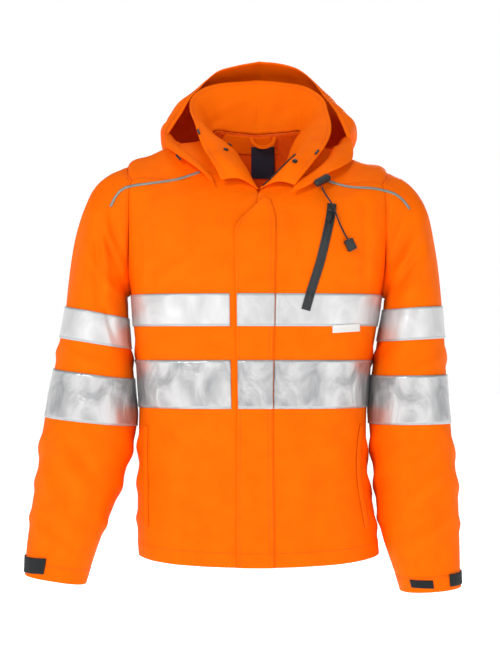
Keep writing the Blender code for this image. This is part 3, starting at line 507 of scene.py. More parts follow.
# Folds: each runs from a place by way of another to a third, as a soft ridge or trough with its own
# length, width and height. A side says which way the cloth there faces; the places are x and z on the
# front and back, and y and z on the wearer's left and right.
SIDES = {"front": (1, -1), "back": (1, 1), "left": (0, 1), "right": (0, -1)}
BODY_FOLDS = (
    # side  from  by way of  to  width height
    ("front", -252, -92, -247, -150, -243, -226, 9, -5),
    ("front", -240, -98, -235, -150, -231, -210, 8, 4),
    ("front", -228, -66, -220, -110, -208, -162, 8, -4.5),
    ("front", -243, -92, -231, -126, -214, -158, 6, -3),
    ("front", -222, -120, -210, -158, -199, -196, 7, 3.5),
    ("front", -262, -128, -240, -178, -208, -208, 7, 3),
    ("front", -233, -226, -226, -250, -216, -286, 6, -4),
    ("front", 243, -86, 224, -126, 195, -168, 8, -4.5),
    ("front", 252, -104, 232, -148, 204, -184, 7, 4),
    ("front", 252, -128, 234, -164, 207, -198, 7, -4),
    ("front", 264, -120, 250, -176, 214, -216, 8, 3),
    ("front", 222, -60, 212, -100, 199, -150, 7, -3),
    ("front", 202, -196, 200, -240, 202, -286, 6, 3),
    ("front", 164, -62, 168, -128, 166, -198, 9, -3),
    ("front", 178, -84, 176, -140, 172, -196, 6, 2),
    ("front", -150, -86, -158, -140, -160, -202, 11, -2.8),
    ("front", -176, -92, -172, -140, -174, -198, 6, 2),
    ("front", 186, -212, 152, -236, 112, -246, 11, 2.2),
    ("front", -188, -214, -156, -236, -120, -244, 11, 2.2),
    ("front", 36, -80, 50, -118, 56, -170, 14, 2),
    ("front", -44, -82, -58, -124, -66, -178, 14, 2),
    ("front", 120, -416, 126, -500, 128, -604, 20, 3.2),
    ("front", 92, -470, 88, -540, 92, -612, 13, -2.4),
    ("front", 60, -440, 66, -520, 58, -616, 18, 2.4),
    ("front", -118, -424, -128, -500, -124, -604, 20, 3.2),
    ("front", -92, -452, -86, -530, -90, -610, 13, -2.4),
    ("front", -58, -430, -64, -520, -54, -612, 18, 2.4),
    ("front", 150, -400, 132, -430, 108, -452, 9, 2),
    ("front", -152, -398, -136, -430, -110, -456, 9, 2),
    ("front", 70, -262, 64, -284, 68, -304, 9, 1.6),
    ("front", -80, -262, -74, -282, -80, -304, 9, 1.6),
    ("front", 120, -262, 126, -282, 118, -304, 8, -1.4),
    ("front", 284, -416, 262, -452, 232, -476, 12, 3.6),
    ("front", 292, -470, 262, -500, 226, -530, 11, 3),
    ("front", 300, -540, 280, -566, 238, -590, 10, 2.6),
    ("front", 246, -440, 238, -500, 246, -566, 12, -2.6),
    ("front", 300, -286, 280, -306, 240, -322, 9, 2.6),
    ("front", -310, -414, -296, -460, -268, -508, 13, 3.8),
    ("front", -330, -470, -312, -520, -290, -566, 12, 3),
    ("front", -288, -430, -262, -470, -236, -500, 10, -3),
    ("front", -346, -560, -320, -584, -286, -600, 9, 2.4),
    ("front", -300, -286, -276, -302, -236, -312, 9, 2.6),
    ("back", -240, -88, -226, -140, -204, -200, 11, -4.5),
    ("back", 240, -92, 226, -146, 206, -206, 11, -4.5),
    ("back", -256, -120, -234, -170, -208, -214, 8, 4),
    ("back", 258, -124, 236, -172, 210, -216, 8, 4),
    ("back", -105, -58, -116, -120, -122, -196, 16, -4),
    ("back", 102, -54, 112, -120, 118, -196, 16, -4),
    ("back", -150, -80, -160, -140, -168, -200, 10, 3),
    ("back", 146, -84, 158, -144, 166, -200, 10, 3),
    ("back", 24, -90, 10, -150, 18, -200, 16, 2.6),
    ("back", 60, -416, 68, -510, 72, -606, 20, 4),
    ("back", -78, -424, -72, -520, -62, -606, 20, 4),
    ("back", -10, -430, 4, -520, -4, -610, 16, -3),
    ("back", 130, -410, 122, -480, 130, -580, 14, 3),
    ("back", -140, -420, -130, -490, -136, -590, 14, 3),
    ("back", 60, -260, 30, -284, -20, -300, 10, 2.4),
    ("back", -40, -262, -80, -284, -120, -302, 10, 2.4),
    ("back", -302, -416, -288, -470, -266, -514, 14, 4),
    ("back", 284, -420, 268, -470, 246, -516, 14, 4),
    ("back", -330, -520, -306, -560, -276, -590, 10, 3),
    ("back", 304, -520, 280, -556, 242, -586, 10, 3),
    ("left", -40, -70, -10, -130, 6, -206, 12, 3),
    ("left", 34, -66, 26, -130, 18, -206, 10, -3.4),
    ("left", -44, -286, -4, -304, 36, -320, 9, 3),
    ("left", -60, -424, -10, -456, 40, -470, 12, 4),
    ("left", -56, -486, -10, -510, 30, -522, 11, 3.4),
    ("left", -60, -552, -20, -566, 22, -580, 9, 2.6),
    ("right", -40, -64, -14, -126, 4, -206, 12, 3),
    ("right", 34, -62, 24, -126, 16, -204, 10, -3.4),
    ("right", -46, -284, -6, -300, 34, -314, 9, 3),
    ("right", -60, -416, -14, -446, 36, -464, 12, 4),
    ("right", -54, -476, -10, -504, 30, -516, 11, 3.4),
    ("right", -58, -540, -18, -556, 20, -566, 9, 2.6),
)


def fold_field(points, normals, folds):
    """How far the folds move each place outwards, in metres."""
    total = np.zeros(points.shape[:-1])
    for side, *places, width, height in folds:
        axis, sign = SIDES[side]
        facing = np.clip(sign * normals[..., axis], 0, 1)
        flat = points[..., [1 - axis, 2]] / MM
        a, b, c = (np.array(places[i : i + 2], float) for i in (0, 2, 4))
        reach = 2.6 * width
        low = np.minimum(np.minimum(a, b), c) - reach
        high = np.maximum(np.maximum(a, b), c) + reach
        near = (facing > 0) & ((flat > low) & (flat < high)).all(-1)
        spots = flat[near]
        best = np.full(len(spots), 1e9)
        along = np.zeros(len(spots))
        steps = 10
        line = [
            (1 - t) ** 2 * a + 2 * t * (1 - t) * (2 * b - (a + c) / 2) + t * t * c
            for t in np.linspace(0, 1, steps + 1)
        ]
        for number in range(steps):
            start, run = line[number], line[number + 1] - line[number]
            part = np.clip(((spots - start) @ run) / (run @ run), 0, 1)
            away = np.linalg.norm(spots - start - part[:, None] * run, axis=1)
            closer = away < best
            best[closer] = away[closer]
            along[closer] = (number + part[closer]) / steps
        taper = np.sin(math.pi * np.clip(0.08 + 0.84 * along, 0, 1)) ** 0.8
        profile = np.exp(-((best / width) ** 2)) - 0.3 * np.exp(-((best / (1.9 * width)) ** 2))
        total[near] += height * MM * taper * profile * facing[near]
    return total


def rumple(points, scale, stretch, depth, seed, sharp=False):
    """Slow unevenness of hanging cloth: depth in metres over lengths of scale, longer downwards."""
    flat = points.reshape(-1, 3) / scale / np.array((1, 1, stretch)) + seed
    values = np.array([noise.noise(Vector(p)) for p in flat.tolist()])
    if sharp:
        values = 0.5 - np.abs(values) * 2.2
    return (values * depth).reshape(points.shape[:-1])


def directions(points, closed, inside):
    """Directions of the face that shows, at each place of a grid, away from a place on its other side."""
    if closed:
        across = np.roll(points, -1, 1) - np.roll(points, 1, 1)
    else:
        across = np.gradient(points, axis=1)
    along = np.gradient(points, axis=0)
    found = np.cross(across, along)
    found /= np.maximum(np.linalg.norm(found, axis=-1, keepdims=True), 1e-12)
    r, c = points.shape[0] // 2, points.shape[1] // 2
    behind = points[r].mean(0) if inside is None else np.array(inside)
    return found if found[r, c] @ (points[r, c] - behind) > 0 else -found


def lengths(points, axis):
    """Distance travelled along a grid, at each of its places."""
    step = np.linalg.norm(np.diff(points, axis=axis), axis=-1)
    pad = ((1, 0), (0, 0)) if axis == 0 else ((0, 0), (1, 0))
    return np.pad(np.cumsum(step, axis=axis), pad)


FOLD_SHARE = 1.35
SEAM_DIP, SEAM_REACH = 0.6 * MM, 3.5 * MM
HEM_STEP, HEM_SOFTNESS = 0.7 * MM, 1.2 * MM
MEETING_ROWS = 12


def cloth(
    node, points, look, thickness=1.4, lift=0.0, closed=False, inside=None, folds=BODY_FOLDS, wave=1.0, **more
):
    """A piece of cloth through a grid of points, folded and uneven, with its lining, edges and flat size.

    sewn names the grid's edges that are sewn down (t, b, l, r), fine adds small creases of that height,
    hem makes the first rows double, edged marks how far each place is from the long edges, and meets
    gives the directions of the cloth that the last rows are sewn to.
    """
    points = np.array(points, float)
    normals = directions(points, closed, inside)
    if "meets" in more:
        share = np.clip(np.arange(3 - MEETING_ROWS, 3) / 8, 0, 1)[:, None, None]
        last_rows = normals[-MEETING_ROWS:] * (1 - share) + more["meets"] * share
        normals[-MEETING_ROWS:] = last_rows / np.linalg.norm(last_rows, axis=-1, keepdims=True)
    height = FOLD_SHARE * fold_field(points, normals, folds) + rumple(points, 0.075, 2.0, 0.0036 * wave, 3.1)
    height += rumple(points, 0.03, 1.8, 0.0011 * wave, 7.7) + lift * MM
    if more.get("fine"):
        height += (rumple(points, 0.013, 1.3, more["fine"] * MM, 11.3, sharp=True)).clip(0)
    travelled, crossed = lengths(points, 0), lengths(points, 1)
    left_over = {
        "b": travelled,
        "t": travelled[-1] - travelled,
        "l": crossed,
        "r": crossed[:, -1:] - crossed,
    }
    for edge in more.get("sewn", ""):
        height -= SEAM_DIP * np.exp(-((left_over[edge] / SEAM_REACH) ** 2))
    if more.get("hem"):
        height += HEM_STEP / (1 + np.exp((travelled - more["hem"] * MM) / HEM_SOFTNESS))
    outer = points + normals * height[..., None]
    facing = directions(outer, closed, inside)
    inner = outer - facing * thickness * MM
    rows, columns = points.shape[:2]
    spans = columns if closed else columns - 1
    count = rows * columns
    r, c = np.meshgrid(np.arange(rows - 1), np.arange(spans), indexing="ij")
    d = (c + 1) % columns
    low, high = r * columns, (r + 1) * columns
    outer_faces = np.stack([low + c, low + d, high + d, high + c], -1).reshape(-1, 4)
    faces = [outer_faces, outer_faces[:, ::-1] + count]
    rim = []
    c = np.arange(spans)
    d = (c + 1) % columns
    rim.append(np.stack([c + count, d + count, d, c], -1))
    last = (rows - 1) * columns
    rim.append(np.stack([last + c, last + d, last + d + count, last + c + count], -1))
    if not closed:
        r = np.arange(rows - 1) * columns
        rim.append(np.stack([r, r + columns, r + columns + count, r + count], -1))
        r = r + columns - 1
        rim.append(np.stack([r + count, r + columns + count, r + columns, r], -1))
    faces += rim
    faces = np.concatenate(faces)
    normal = np.cross(outer[0, 1] - outer[0, 0], outer[1, 0] - outer[0, 0])
    if normal @ facing[0, 0] < 0:
        faces = faces[:, ::-1]
    data = bpy.data.meshes.new(node + "_cloth")
    corners = np.concatenate([outer.reshape(-1, 3), inner.reshape(-1, 3)])
    data.from_pydata(corners.tolist(), [], faces.tolist())
    data.materials.append(look)
    data.materials.append(more.get("lining", look))
    which = np.zeros(len(faces), int)
    which[len(outer_faces) : 2 * len(outer_faces)] = 1
    data.polygons.foreach_set("material_index", which)
    u, v = np.tile(crossed.mean(0), (rows, 1)), np.tile(travelled.mean(1)[:, None], (1, columns))
    flat = np.tile(np.stack([u, v], -1).reshape(-1, 2), (2, 1))
    corner = np.empty(len(data.loops), int)
    data.loops.foreach_get("vertex_index", corner)
    data.uv_layers.new(name="cut").data.foreach_set("uv", flat[corner].ravel())
    if more.get("edged"):
        away = np.minimum(left_over["b"], left_over["t"]).reshape(-1)
        data.attributes.new("edge", "FLOAT", "POINT").data.foreach_set("value", np.tile(away, 2))
    data.shade_smooth()
    data.update()
    piece = bpy.data.objects.new(node + "_cloth", data)
    scene.collection.objects.link(piece)
    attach(piece, "jacket")
    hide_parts(node)
    GRIDS[node] = (outer, facing)
    return outer, facing


GRIDS = {}

# ---------------------------------------------------------------------------
# The hood's cord: it hangs out of its lock, lies across the chest zip's slider and ends in a moulded
# grip. The lock is a ribbed barrel across the hood's rim, and the grip is a flat block on the chest.
# ---------------------------------------------------------------------------


def hard_piece(name, size, frame_at, rounding, look, node=None, body="jacket", segments=3, kind="box"):
    """A moulded block or barrel of the given size in millimetres, its edges rounded, set in a place."""
    if kind == "box":
        bpy.ops.mesh.primitive_cube_add(size=1, location=(0, 0, 0))
    else:
        bpy.ops.mesh.primitive_cylinder_add(vertices=40, radius=0.5, depth=1, location=(0, 0, 0))
    piece = bpy.context.object
    piece.name = name
    bpy.ops.object.mode_set(mode="EDIT")
    bpy.ops.mesh.select_all(action="SELECT")
    bpy.ops.transform.resize(value=[side * MM for side in size])
    if kind == "box":
        bpy.ops.mesh.bevel(offset=rounding * MM, segments=segments, affect="EDGES")
    else:
        bpy.ops.mesh.select_all(action="DESELECT")
        bpy.ops.mesh.select_mode(type="FACE")
        bpy.ops.mesh.select_face_by_sides(number=40, type="EQUAL")
        bpy.ops.mesh.bevel(offset=rounding * MM, segments=segments, affect="EDGES")
    bpy.ops.object.mode_set(mode="OBJECT")
    bpy.ops.object.shade_smooth_by_angle(angle=math.radians(40))
    piece.data.transform(frame_at)
    piece.data.materials.append(look)
    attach(piece, body)
    if node:
        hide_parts(node)
    return piece


def place_frame(centre, x_axis, out):
    """A matrix that sets a piece at a centre, its z side facing out and its x side along x_axis."""
    z_axis = out.normalized()
    y_axis = z_axis.cross(x_axis).normalized()
    x_axis = y_axis.cross(z_axis)
    return Matrix.Translation(centre) @ Matrix((x_axis, y_axis, z_axis)).transposed().to_4x4()


def joined(pieces, name):
    """Several pieces of one hard part as one object."""
    bpy.ops.object.select_all(action="DESELECT")
    for piece in pieces:
        piece.select_set(True)
    bpy.context.view_layer.objects.active = pieces[0]
    bpy.ops.object.join()
    pieces[0].name = name
    return pieces[0]


def place_at(x, z, in_front=True):
    """The level and turn of the body's front, or back, where it passes a given x and z."""
    near, far = (-90, -90 + math.copysign(88, x)) if in_front else (90, 90 - math.copysign(88, x))
    low, high = 0, NECK
    for _ in range(16):
        level = (low + high) / 2
        inner, outer = near, far
        for _ in range(16):
            turn = (inner + outer) / 2
            if abs(body_point(level, turn).x) < abs(x) * MM:
                inner = turn
            else:
                outer = turn
        if body_point(level, turn).z < z * MM:
            low = level
        else:
            high = level
    return level, turn


CORD_DIAMETER = 2.5 * MM
CORD_ROUTE = (
    # x y z
    (98.6, -97.4, -41.2),
    (100.6, -97.8, -46.2),
    (103.2, -98.9, -51.6),
    (106.4, -102.4, -57.0),
    (109.5, -108.6, -62.2),
    (112.3, -113.8, -67.3),
    (115.0, -116.4, -73.0),
    (117.6, -118.6, -79.2),
    (120.0, -119.0, -85.8),
    (122.6, -117.8, -93.0),
    (125.8, -117.1, -100.6),
    (129.6, -117.2, -108.6),
    (133.6, -117.8, -116.6),
    (137.0, -118.6, -122.6),
)
cord_line = [Vector(table_row(CORD_ROUTE, 13 * step / 65)) * MM for step in range(66)]
cord_data = bpy.data.curves.new("hood_cord_braid", "CURVE")
cord_data.dimensions = "3D"
cord_data.bevel_depth = CORD_DIAMETER / 2
cord_data.bevel_resolution = 4
cord_data.use_fill_caps = True
spline = cord_data.splines.new("POLY")
spline.points.add(len(cord_line) - 1)
for point, spot in zip(spline.points, cord_line):
    point.co = (*spot, 1)
cord_data.materials.append(CORDAGE)
hood_cord = bpy.data.objects.new("hood_cord_braid", cord_data)
scene.collection.objects.link(hood_cord)
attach(hood_cord, "jacket")
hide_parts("hood_cord")

cord_run = (cord_line[-1] - Vector(CORD_ROUTE[-2]) * MM).normalized()
out = body_normal(*place_at(141, -131))
cord_run = (cord_run - out * cord_run.dot(out)).normalized()
end_frame = place_frame(cord_line[-1] + cord_run * 9.9 * MM, cord_run.cross(out), out)
grip = hard_piece("grip", (14.4, 18.6, 7.6), end_frame, 2.4, PLASTIC, "cord_end", segments=5)
lips = [
    hard_piece("lip", (15, 2.2, 8), end_frame @ Matrix.Translation((0, y * MM, 0)), 0.7, PLASTIC)
    for y in (-6.6, 6.6)
]
grip = joined([grip] + lips, "cord_end_grip")

LOCK_TURN = -90 + 24
out = body_normal(*place_at(98, -34))
along = (edge_point(HOOD_RIM, LOCK_TURN + 6) - edge_point(HOOD_RIM, LOCK_TURN - 6)).normalized()
lock_centre = edge_point(HOOD_RIM, LOCK_TURN) + out * 7.6 * MM + Vector((1, 0, -7.5)) * MM
lock_frame = place_frame(lock_centre, along, out)
lock = [hard_piece("barrel", (28, 9.6, 7.8), lock_frame, 2.2, PLASTIC, "cord_lock", segments=5)]
for step in range(7):
    rib_frame = lock_frame @ Matrix.Translation(((step - 3) * 3.4 * MM, 0, 0))
    lock.append(hard_piece("rib", (1.6, 10.8, 8.9), rib_frame, 0.6, PLASTIC))
button_frame = lock_frame @ Matrix.Translation((12.2 * MM, 0, 0))
lock.append(hard_piece("button", (5, 7.4, 6), button_frame, 1.4, PLASTIC))
joined(lock, "cord_lock_barrel")

# ---------------------------------------------------------------------------
# The body: two fronts, the back and the two saddles that run over the shoulders. Rows go up from the
# hem and columns go round; at the armhole the rows crowd together so that its curve is round.
# ---------------------------------------------------------------------------
LOW_LEVELS = [level / 12 for level in range(96)]
ARM_LEVELS = [8 + 3 * (step / 26) ** 2 for step in range(27)]
YOKE_LEVELS = [11 + 3 * step / 22 for step in range(1, 23)]
PANEL_LEVELS = LOW_LEVELS + ARM_LEVELS + YOKE_LEVELS
SADDLE_LEVELS = [11] + YOKE_LEVELS
GAP = 0.3 * MM


def body_grid(levels, ends, columns):
    """Points of a panel: ends gives the panel's two turns at a level."""
    grid = []
    for level in levels:
        start, end = ends(level)
        grid.append([body_point(level, start + (end - start) * c / columns) for c in range(columns + 1)])
    return pulled_in(np.array(grid))


def pulled_in(grid):
    """The grid with its outer points moved inwards by half a seam gap."""
    moved = grid.copy()
    for edge, inside in ((0, 1), (-1, -2)):
        rows = (grid[edge], grid[inside], moved[edge])
        columns = (grid[:, edge], grid[:, inside], moved[:, edge])
        for a, b, target in (rows, columns):
            step = b - a
            target += step / np.maximum(np.linalg.norm(step, axis=-1, keepdims=True), 1e-9) * GAP / 2
    return moved


HEART = (0, 0, -0.25)
SHELL = {"inside": HEART, "lining": PAINTED_SHADE_LINING}
cloth(
    "front_left",
    body_grid(PANEL_LEVELS, lambda level: (-90, -side_turn(level, False)), 78),
    ORANGE,
    sewn="tlr",
    hem=24,
    **SHELL,
)
cloth(
    "front_right",
    body_grid(PANEL_LEVELS, lambda level: (-180 + side_turn(level, False), -90), 78),
    ORANGE,
    sewn="tlr",
    hem=24,
    **SHELL,
)
cloth(
    "back",
    body_grid(PANEL_LEVELS, lambda level: (side_turn(level, True), 180 - side_turn(level, True)), 130),
    ORANGE,
    sewn="tlr",
    hem=24,
    **SHELL,
)
SADDLES = {
    "left": lambda level: (-saddle_turn(level, False), saddle_turn(level, True)),
    "right": lambda level: (180 - saddle_turn(level, True), 180 + saddle_turn(level, False)),
}
for side, ends in SADDLES.items():
    centre = (0.12 if side == "left" else -0.12, 0, -0.12)
    grid = body_grid(SADDLE_LEVELS, ends, 56)
    cloth("saddle_" + side, grid, ORANGE, sewn="tblr", inside=centre, lining=PAINTED_SHADE_LINING)

# ---------------------------------------------------------------------------
# The sleeves: rings from the armhole down to the cuff. The first ring is the armhole's own edge.
# ---------------------------------------------------------------------------
SLEEVES = {"left": SLEEVE_LEFT, "right": SLEEVE_RIGHT}
SLEEVE_COLUMNS = 128


def armhole_loop():
    """Levels and turns evenly round the left armhole, from the shoulder down its front and up its back."""
    front = [(SHOULDER, -30 * step / 12) for step in range(12)]
    front += [(level, -armhole_turn(level)) for level in reversed(ARM_LEVELS)]
    back = [(level, -turn) for level, turn in reversed(front[:-1])]
    loop = front + back
    spots = [body_point(*place) for place in loop]
    ways = np.concatenate([[0], np.cumsum([(b - a).length for a, b in zip(spots, spots[1:])])])
    even = ways[-1] * np.arange(SLEEVE_COLUMNS) / SLEEVE_COLUMNS
    return list(zip(np.interp(even, ways, [p[0] for p in loop]), np.interp(even, ways, [p[1] for p in loop])))


def sleeve_turns(edge):
    """An angle round the sleeve for each armhole point: 0 at the shoulder, 180 at the armpit."""
    pit = min(range(len(edge)), key=lambda number: edge[number].z)
    ways = [0.0]
    for number in range(len(edge)):
        ways.append(ways[-1] + (edge[(number + 1) % len(edge)] - edge[number]).length)
    front, whole = ways[pit], ways[-1]
    return [
        -180 * way / front if number <= pit else -180 - 180 * (way - front) / (whole - front)
        for number, way in enumerate(ways[:-1])
    ]


ARMHOLE = armhole_loop()
RING_STEPS = 11
SLEEVE_TURNS = {}
for side, rows in SLEEVES.items():
    places = ARMHOLE if side == "left" else [(level, 180 - turn) for level, turn in ARMHOLE]
    edge = [body_point(*place) for place in places]
    turns = sleeve_turns(edge)
    out = Vector((1 if side == "left" else -1, 0, 0)) * GAP * 0.4
    rings = [[point + out for point in edge]]
    rings += [[sleeve_point(rows, at, turn) for turn in turns] for at in range(len(rows))]
    rings = np.array(rings)
    grid = []
    for number in range(len(rings) - 1):
        a, b, c, d = (rings[min(max(number + step, 0), len(rings) - 1)] for step in (-1, 0, 1, 2))
        for step in range(RING_STEPS):
            p = step / RING_STEPS
            shape = 2 * b + (c - a) * p + (2 * a - 5 * b + 4 * c - d) * p**2 + (3 * b - a - 3 * c + d) * p**3
            grid.append(b + (c - b) * p if number == 0 else 0.5 * shape)
    grid.append(rings[-1])
    SLEEVE_TURNS[side] = turns
    meets = np.array([body_normal(*place) for place in places])
    cloth("sleeve_" + side, grid[::-1], ORANGE, closed=True, sewn="t", hem=22, meets=meets, lining=PAINTED_SHADE_LINING)

# ---------------------------------------------------------------------------
# The storm flap over the front zip: its free edge is on the wearer's right, and above the chest it
# leans over and curls. The tapes run round the body over the panels and step up over the flap.
# ---------------------------------------------------------------------------
FLAP_FREE, FLAP_STITCHED = -99.5, -82.0


def flap_free_turn(level):
    """The flap's free edge leans over towards its stitching above the chest."""
    return FLAP_FREE + (FLAP_STITCHED - 3 - FLAP_FREE) * max((level - 10) / 2.6, 0) ** 1.5


flap_levels = [level for level in PANEL_LEVELS if level <= 12.5]
grid = []
for level in flap_levels:
    curl = 7 * MM * max((level - 10) / 2.5, 0)
    line = []
    for step in range(17):
        turn = flap_free_turn(level) + (FLAP_STITCHED - flap_free_turn(level)) * step / 16
        line.append(body_point(level, turn) + body_normal(level, turn) * curl * (1 - step / 16))
    grid.append(line)
cloth("storm_flap", grid, ORANGE, lift=2.3, inside=HEART, sewn="r", hem=24, lining=PAINTED_SHADE_LINING)

TAPES = (
    # tape level_low level_high rows fine look
    ("chest", 7, 8, 14, 0.35, TAPE_UPPER),
    ("waist", 4, 6, 20, 0.9, TAPE_LOWER),
)
for tape, low, high, rows, fine, look in TAPES:
    levels = [low + (high - low) * row / rows for row in range(rows + 1)]
    spans = (
        # side turn_from turn_to columns lift sewn
        ("right", -180, -102, 72, 1.5, "l"),
        ("left", FLAP_STITCHED + 0.15, 0, 72, 1.5, "r"),
        ("back", 0, 180, 120, 1.5, "lr"),
        ("flap", FLAP_FREE + 0.5, FLAP_STITCHED - 0.1, 16, 3.8, "r"),
    )
    for side, start, end, columns, lift, sewn in spans:
        grid = body_grid(levels, lambda level: (start, end), columns)
        cloth(f"tape_{tape}_{side}", grid, look, 0.8, lift, inside=HEART, sewn=sewn, fine=fine, edged=True)


def sleeve_at(rows, turn, height):
    """The ring number where a sleeve passes a height, at one turn round it."""
    low, high = 0, len(rows) - 1
    for _ in range(16):
        at = (low + high) / 2
        if sleeve_point(rows, at, turn).z > height:
            low = at
        else:
            high = at
    return at


def sleeve_band(side, turns, heights, rows):
    """Points of a band on a sleeve: the heights of its low and its top edge at the outer and inner side."""
    table = SLEEVES[side]
    edges = []
    for outer, inner in heights:
        shares = [(1 - math.cos(math.radians(turn))) / 2 for turn in turns]
        edges.append([sleeve_at(table, t, (outer + (inner - outer) * s) * MM) for t, s in zip(turns, shares)])
    return [
        [sleeve_point(table, a + (b - a) * row / rows, t) for a, b, t in zip(*edges, turns)]
        for row in range(rows + 1)
    ]


SLEEVE_TAPES = (
    # side tape top_out top_in low_out low_in fine
    ("left", "upper", -223, -229, -273, -279, 0.45),
    ("left", "lower", -330, -331, -406, -407, 0.8),
    ("right", "upper", -223, -243, -272, -291, 0.45),
    ("right", "lower", -321, -337, -396, -411, 0.8),
)
for side, tape, top_out, top_in, low_out, low_in, fine in SLEEVE_TAPES:
    look = TAPE_UPPER if tape == "upper" else TAPE_LOWER
    grid = sleeve_band(side, SLEEVE_TURNS[side], ((low_out, low_in), (top_out, top_in)), 16)
    cloth(f"tape_sleeve_{tape}_{side}", grid, look, 0.8, 1.7, closed=True, fine=fine, edged=True)

# ---------------------------------------------------------------------------
# The collar stands open round the neck, and the hood hangs behind it from the neck seam, its rim
# rising round the collar and its front ends lying on the chest.
# ---------------------------------------------------------------------------
COLLAR_FOLDS = (
    ("front", -56, 92, -40, 104, -20, 108, 8, 3),
    ("front", 34, 90, 52, 100, 74, 104, 8, -3),
    ("front", 62, 60, 72, 80, 92, 96, 7, 3),
    ("front", -78, 60, -66, 74, -52, 80, 7, -3),
    ("front", -60, 10, -46, -6, -24, -24, 8, 3.4),
    ("front", -72, 30, -66, 8, -50, -12, 7, -2.6),
    ("front", 66, 24, 60, 4, 46, -14, 8, 3),
    ("front", 92, 40, 84, 14, 70, -10, 8, -2.6),
    ("front", -10, 76, 0, 100, 6, 124, 9, 2.4),
)
HOOD_FOLDS = (
    ("front", -60, 150, -20, 160, 20, 160, 6, 3.2),
    ("front", 30, 158, 70, 152, 96, 130, 6, -3),
    ("front", -86, 118, -70, 136, -50, 148, 6, -3),
    ("front", -130, 50, -112, 70, -96, 92, 8, 4),
    ("front", -120, 10, -100, 30, -86, 56, 8, -3.4),
    ("front", 118, 20, 130, 46, 126, 76, 8, -4),
    ("front", 100, -8, 112, 14, 122, 36, 7, 3.6),
    ("back", -70, 60, -40, 20, 0, 6, 16, -5),
    ("back", 74, 62, 42, 18, 6, 2, 16, 5),
    ("back", -40, 130, -50, 80, -40, 30, 13, 5),
    ("back", 30, 136, 42, 90, 36, 44, 13, -5),
    ("back", 0, 150, -6, 110, 4, 60, 10, 4),
    ("back", -90, 110, -80, 70, -56, 40, 10, -4),
    ("back", 94, 108, 84, 66, 60, 36, 10, 4),
    ("back", -60, -20, -20, -44, 24, -46, 12, 5),
    ("left", 40, 90, 80, 60, 120, 20, 12, 5),
    ("left", 60, 120, 104, 90, 140, 56, 10, -4),
    ("left", 20, 40, 60, 20, 96, -6, 10, -4),
    ("right", 40, 88, 84, 62, 122, 24, 12, -5),
    ("right", 62, 118, 100, 94, 140, 60, 10, 4),
    ("right", 20, 46, 56, 18, 94, -4, 10, 4),
)
HOOD_START, HOOD_LEVEL, HOOD_SEAT = 36, 13.05, 1.7 * MM


def collar_point(turn, part):
    """A point of the collar's face that shows, from the neck seam up and out to its top edge."""
    seam = edge_point(NECK_SEAM, turn)
    edge = edge_point(COLLAR_EDGE, turn)
    roll = keyed_row(COLLAR_EDGE, from_front(turn)[0])[6] * MM
    lean = Vector((-math.cos(math.radians(turn)) * 0.3, -0.5, 1)).normalized()
    return seam.lerp(edge, part) + lean * roll * math.sin(math.pi * part)


def hood_point(turn, at):
    """A point of the hood: at 0 is its neck edge and 8 its rim."""
    away, is_left = from_front(turn)
    reach, drop = keyed_row(HOOD_BAG, away)
    under = HOOD_START + away * (1 - HOOD_START / 180)
    under_turn = -90 + under if is_left else -90 - under
    neck = body_point(HOOD_LEVEL, under_turn) + body_normal(HOOD_LEVEL, under_turn) * HOOD_SEAT
    rim = edge_point(HOOD_RIM, turn)
    way, out, rise = table_row(HOOD_OUTLINE, at)
    way = (1 - reach) * at / 8 + reach * way
    c, s = math.cos(math.radians(turn)), math.sin(math.radians(turn))
    hump = 7 * MM * math.sin(math.pi * at / 8) * (1 - reach)
    up = Vector((0, 0, rise * drop * MM + hump))
    return neck.lerp(rim, way) + Vector((c, s, 0)) * out * reach * MM + up


collar_turns = [-87 + 354 * step / 150 for step in range(151)]
grid = [[collar_point(turn, part / 26) for turn in collar_turns] for part in range(27)]
STANDING = {"sewn": "b", "lining": ORANGE}
COLLAR, COLLAR_FACING = cloth(
    "collar", grid, ORANGE, 2.2, 3.1, inside=(0, 0.4, 0.1), folds=COLLAR_FOLDS, wave=1.2, **STANDING
)
hood_turns = [-89.9 + 359.8 * step / 170 for step in range(171)]
grid = [[hood_point(turn, at / 9) for turn in hood_turns] for at in range(73)]
cloth("hood", grid, ORANGE, 1.4, -1.05, inside=(0, -0.4, 0.1), folds=HOOD_FOLDS, wave=1.3, **STANDING)

# ---------------------------------------------------------------------------
# What is sewn on top. A line or patch is given by its places as seen from one side, and laid on the
# cloth that is met first from there. Chest zip, piping, pocket welts, labels, tabs and facing.
# ---------------------------------------------------------------------------
LOOKS = {
    "front": Vector((0, 1, 0)),
    "back": Vector((0, -1, 0)),
    "left": Vector((-1, 0, 0)),
    "right": Vector((1, 0, 0)),
}


def cloth_tree(nodes):
    """The shown faces of some pieces of cloth, to lay other pieces on."""
    spots, faces = [], []
    for node in nodes:
        data = bpy.data.objects[node + "_cloth"].data
        start = len(spots)
        spots += [tuple(v.co) for v in data.vertices]
        faces += [[start + i for i in p.vertices] for p in data.polygons]
    return BVHTree.FromPolygons(spots, faces)


def laid(tree, side, x, z, start=1.0):
    """Where a line of sight from a side meets the cloth, and the cloth's direction there."""
    look = LOOKS[side]
    spot = Vector((x * MM, 0, z * MM)) if look.x == 0 else Vector((0, x * MM, z * MM))
    point, normal, _, _ = tree.ray_cast(spot - look * start, look)
    return point, -normal if normal.dot(look) > 0 else normal


def smooth_path(path, count):
    """Evenly numbered places on a smooth curve through a path's places."""
    return [table_row(path, (len(path) - 1) * step / count) for step in range(count + 1)]


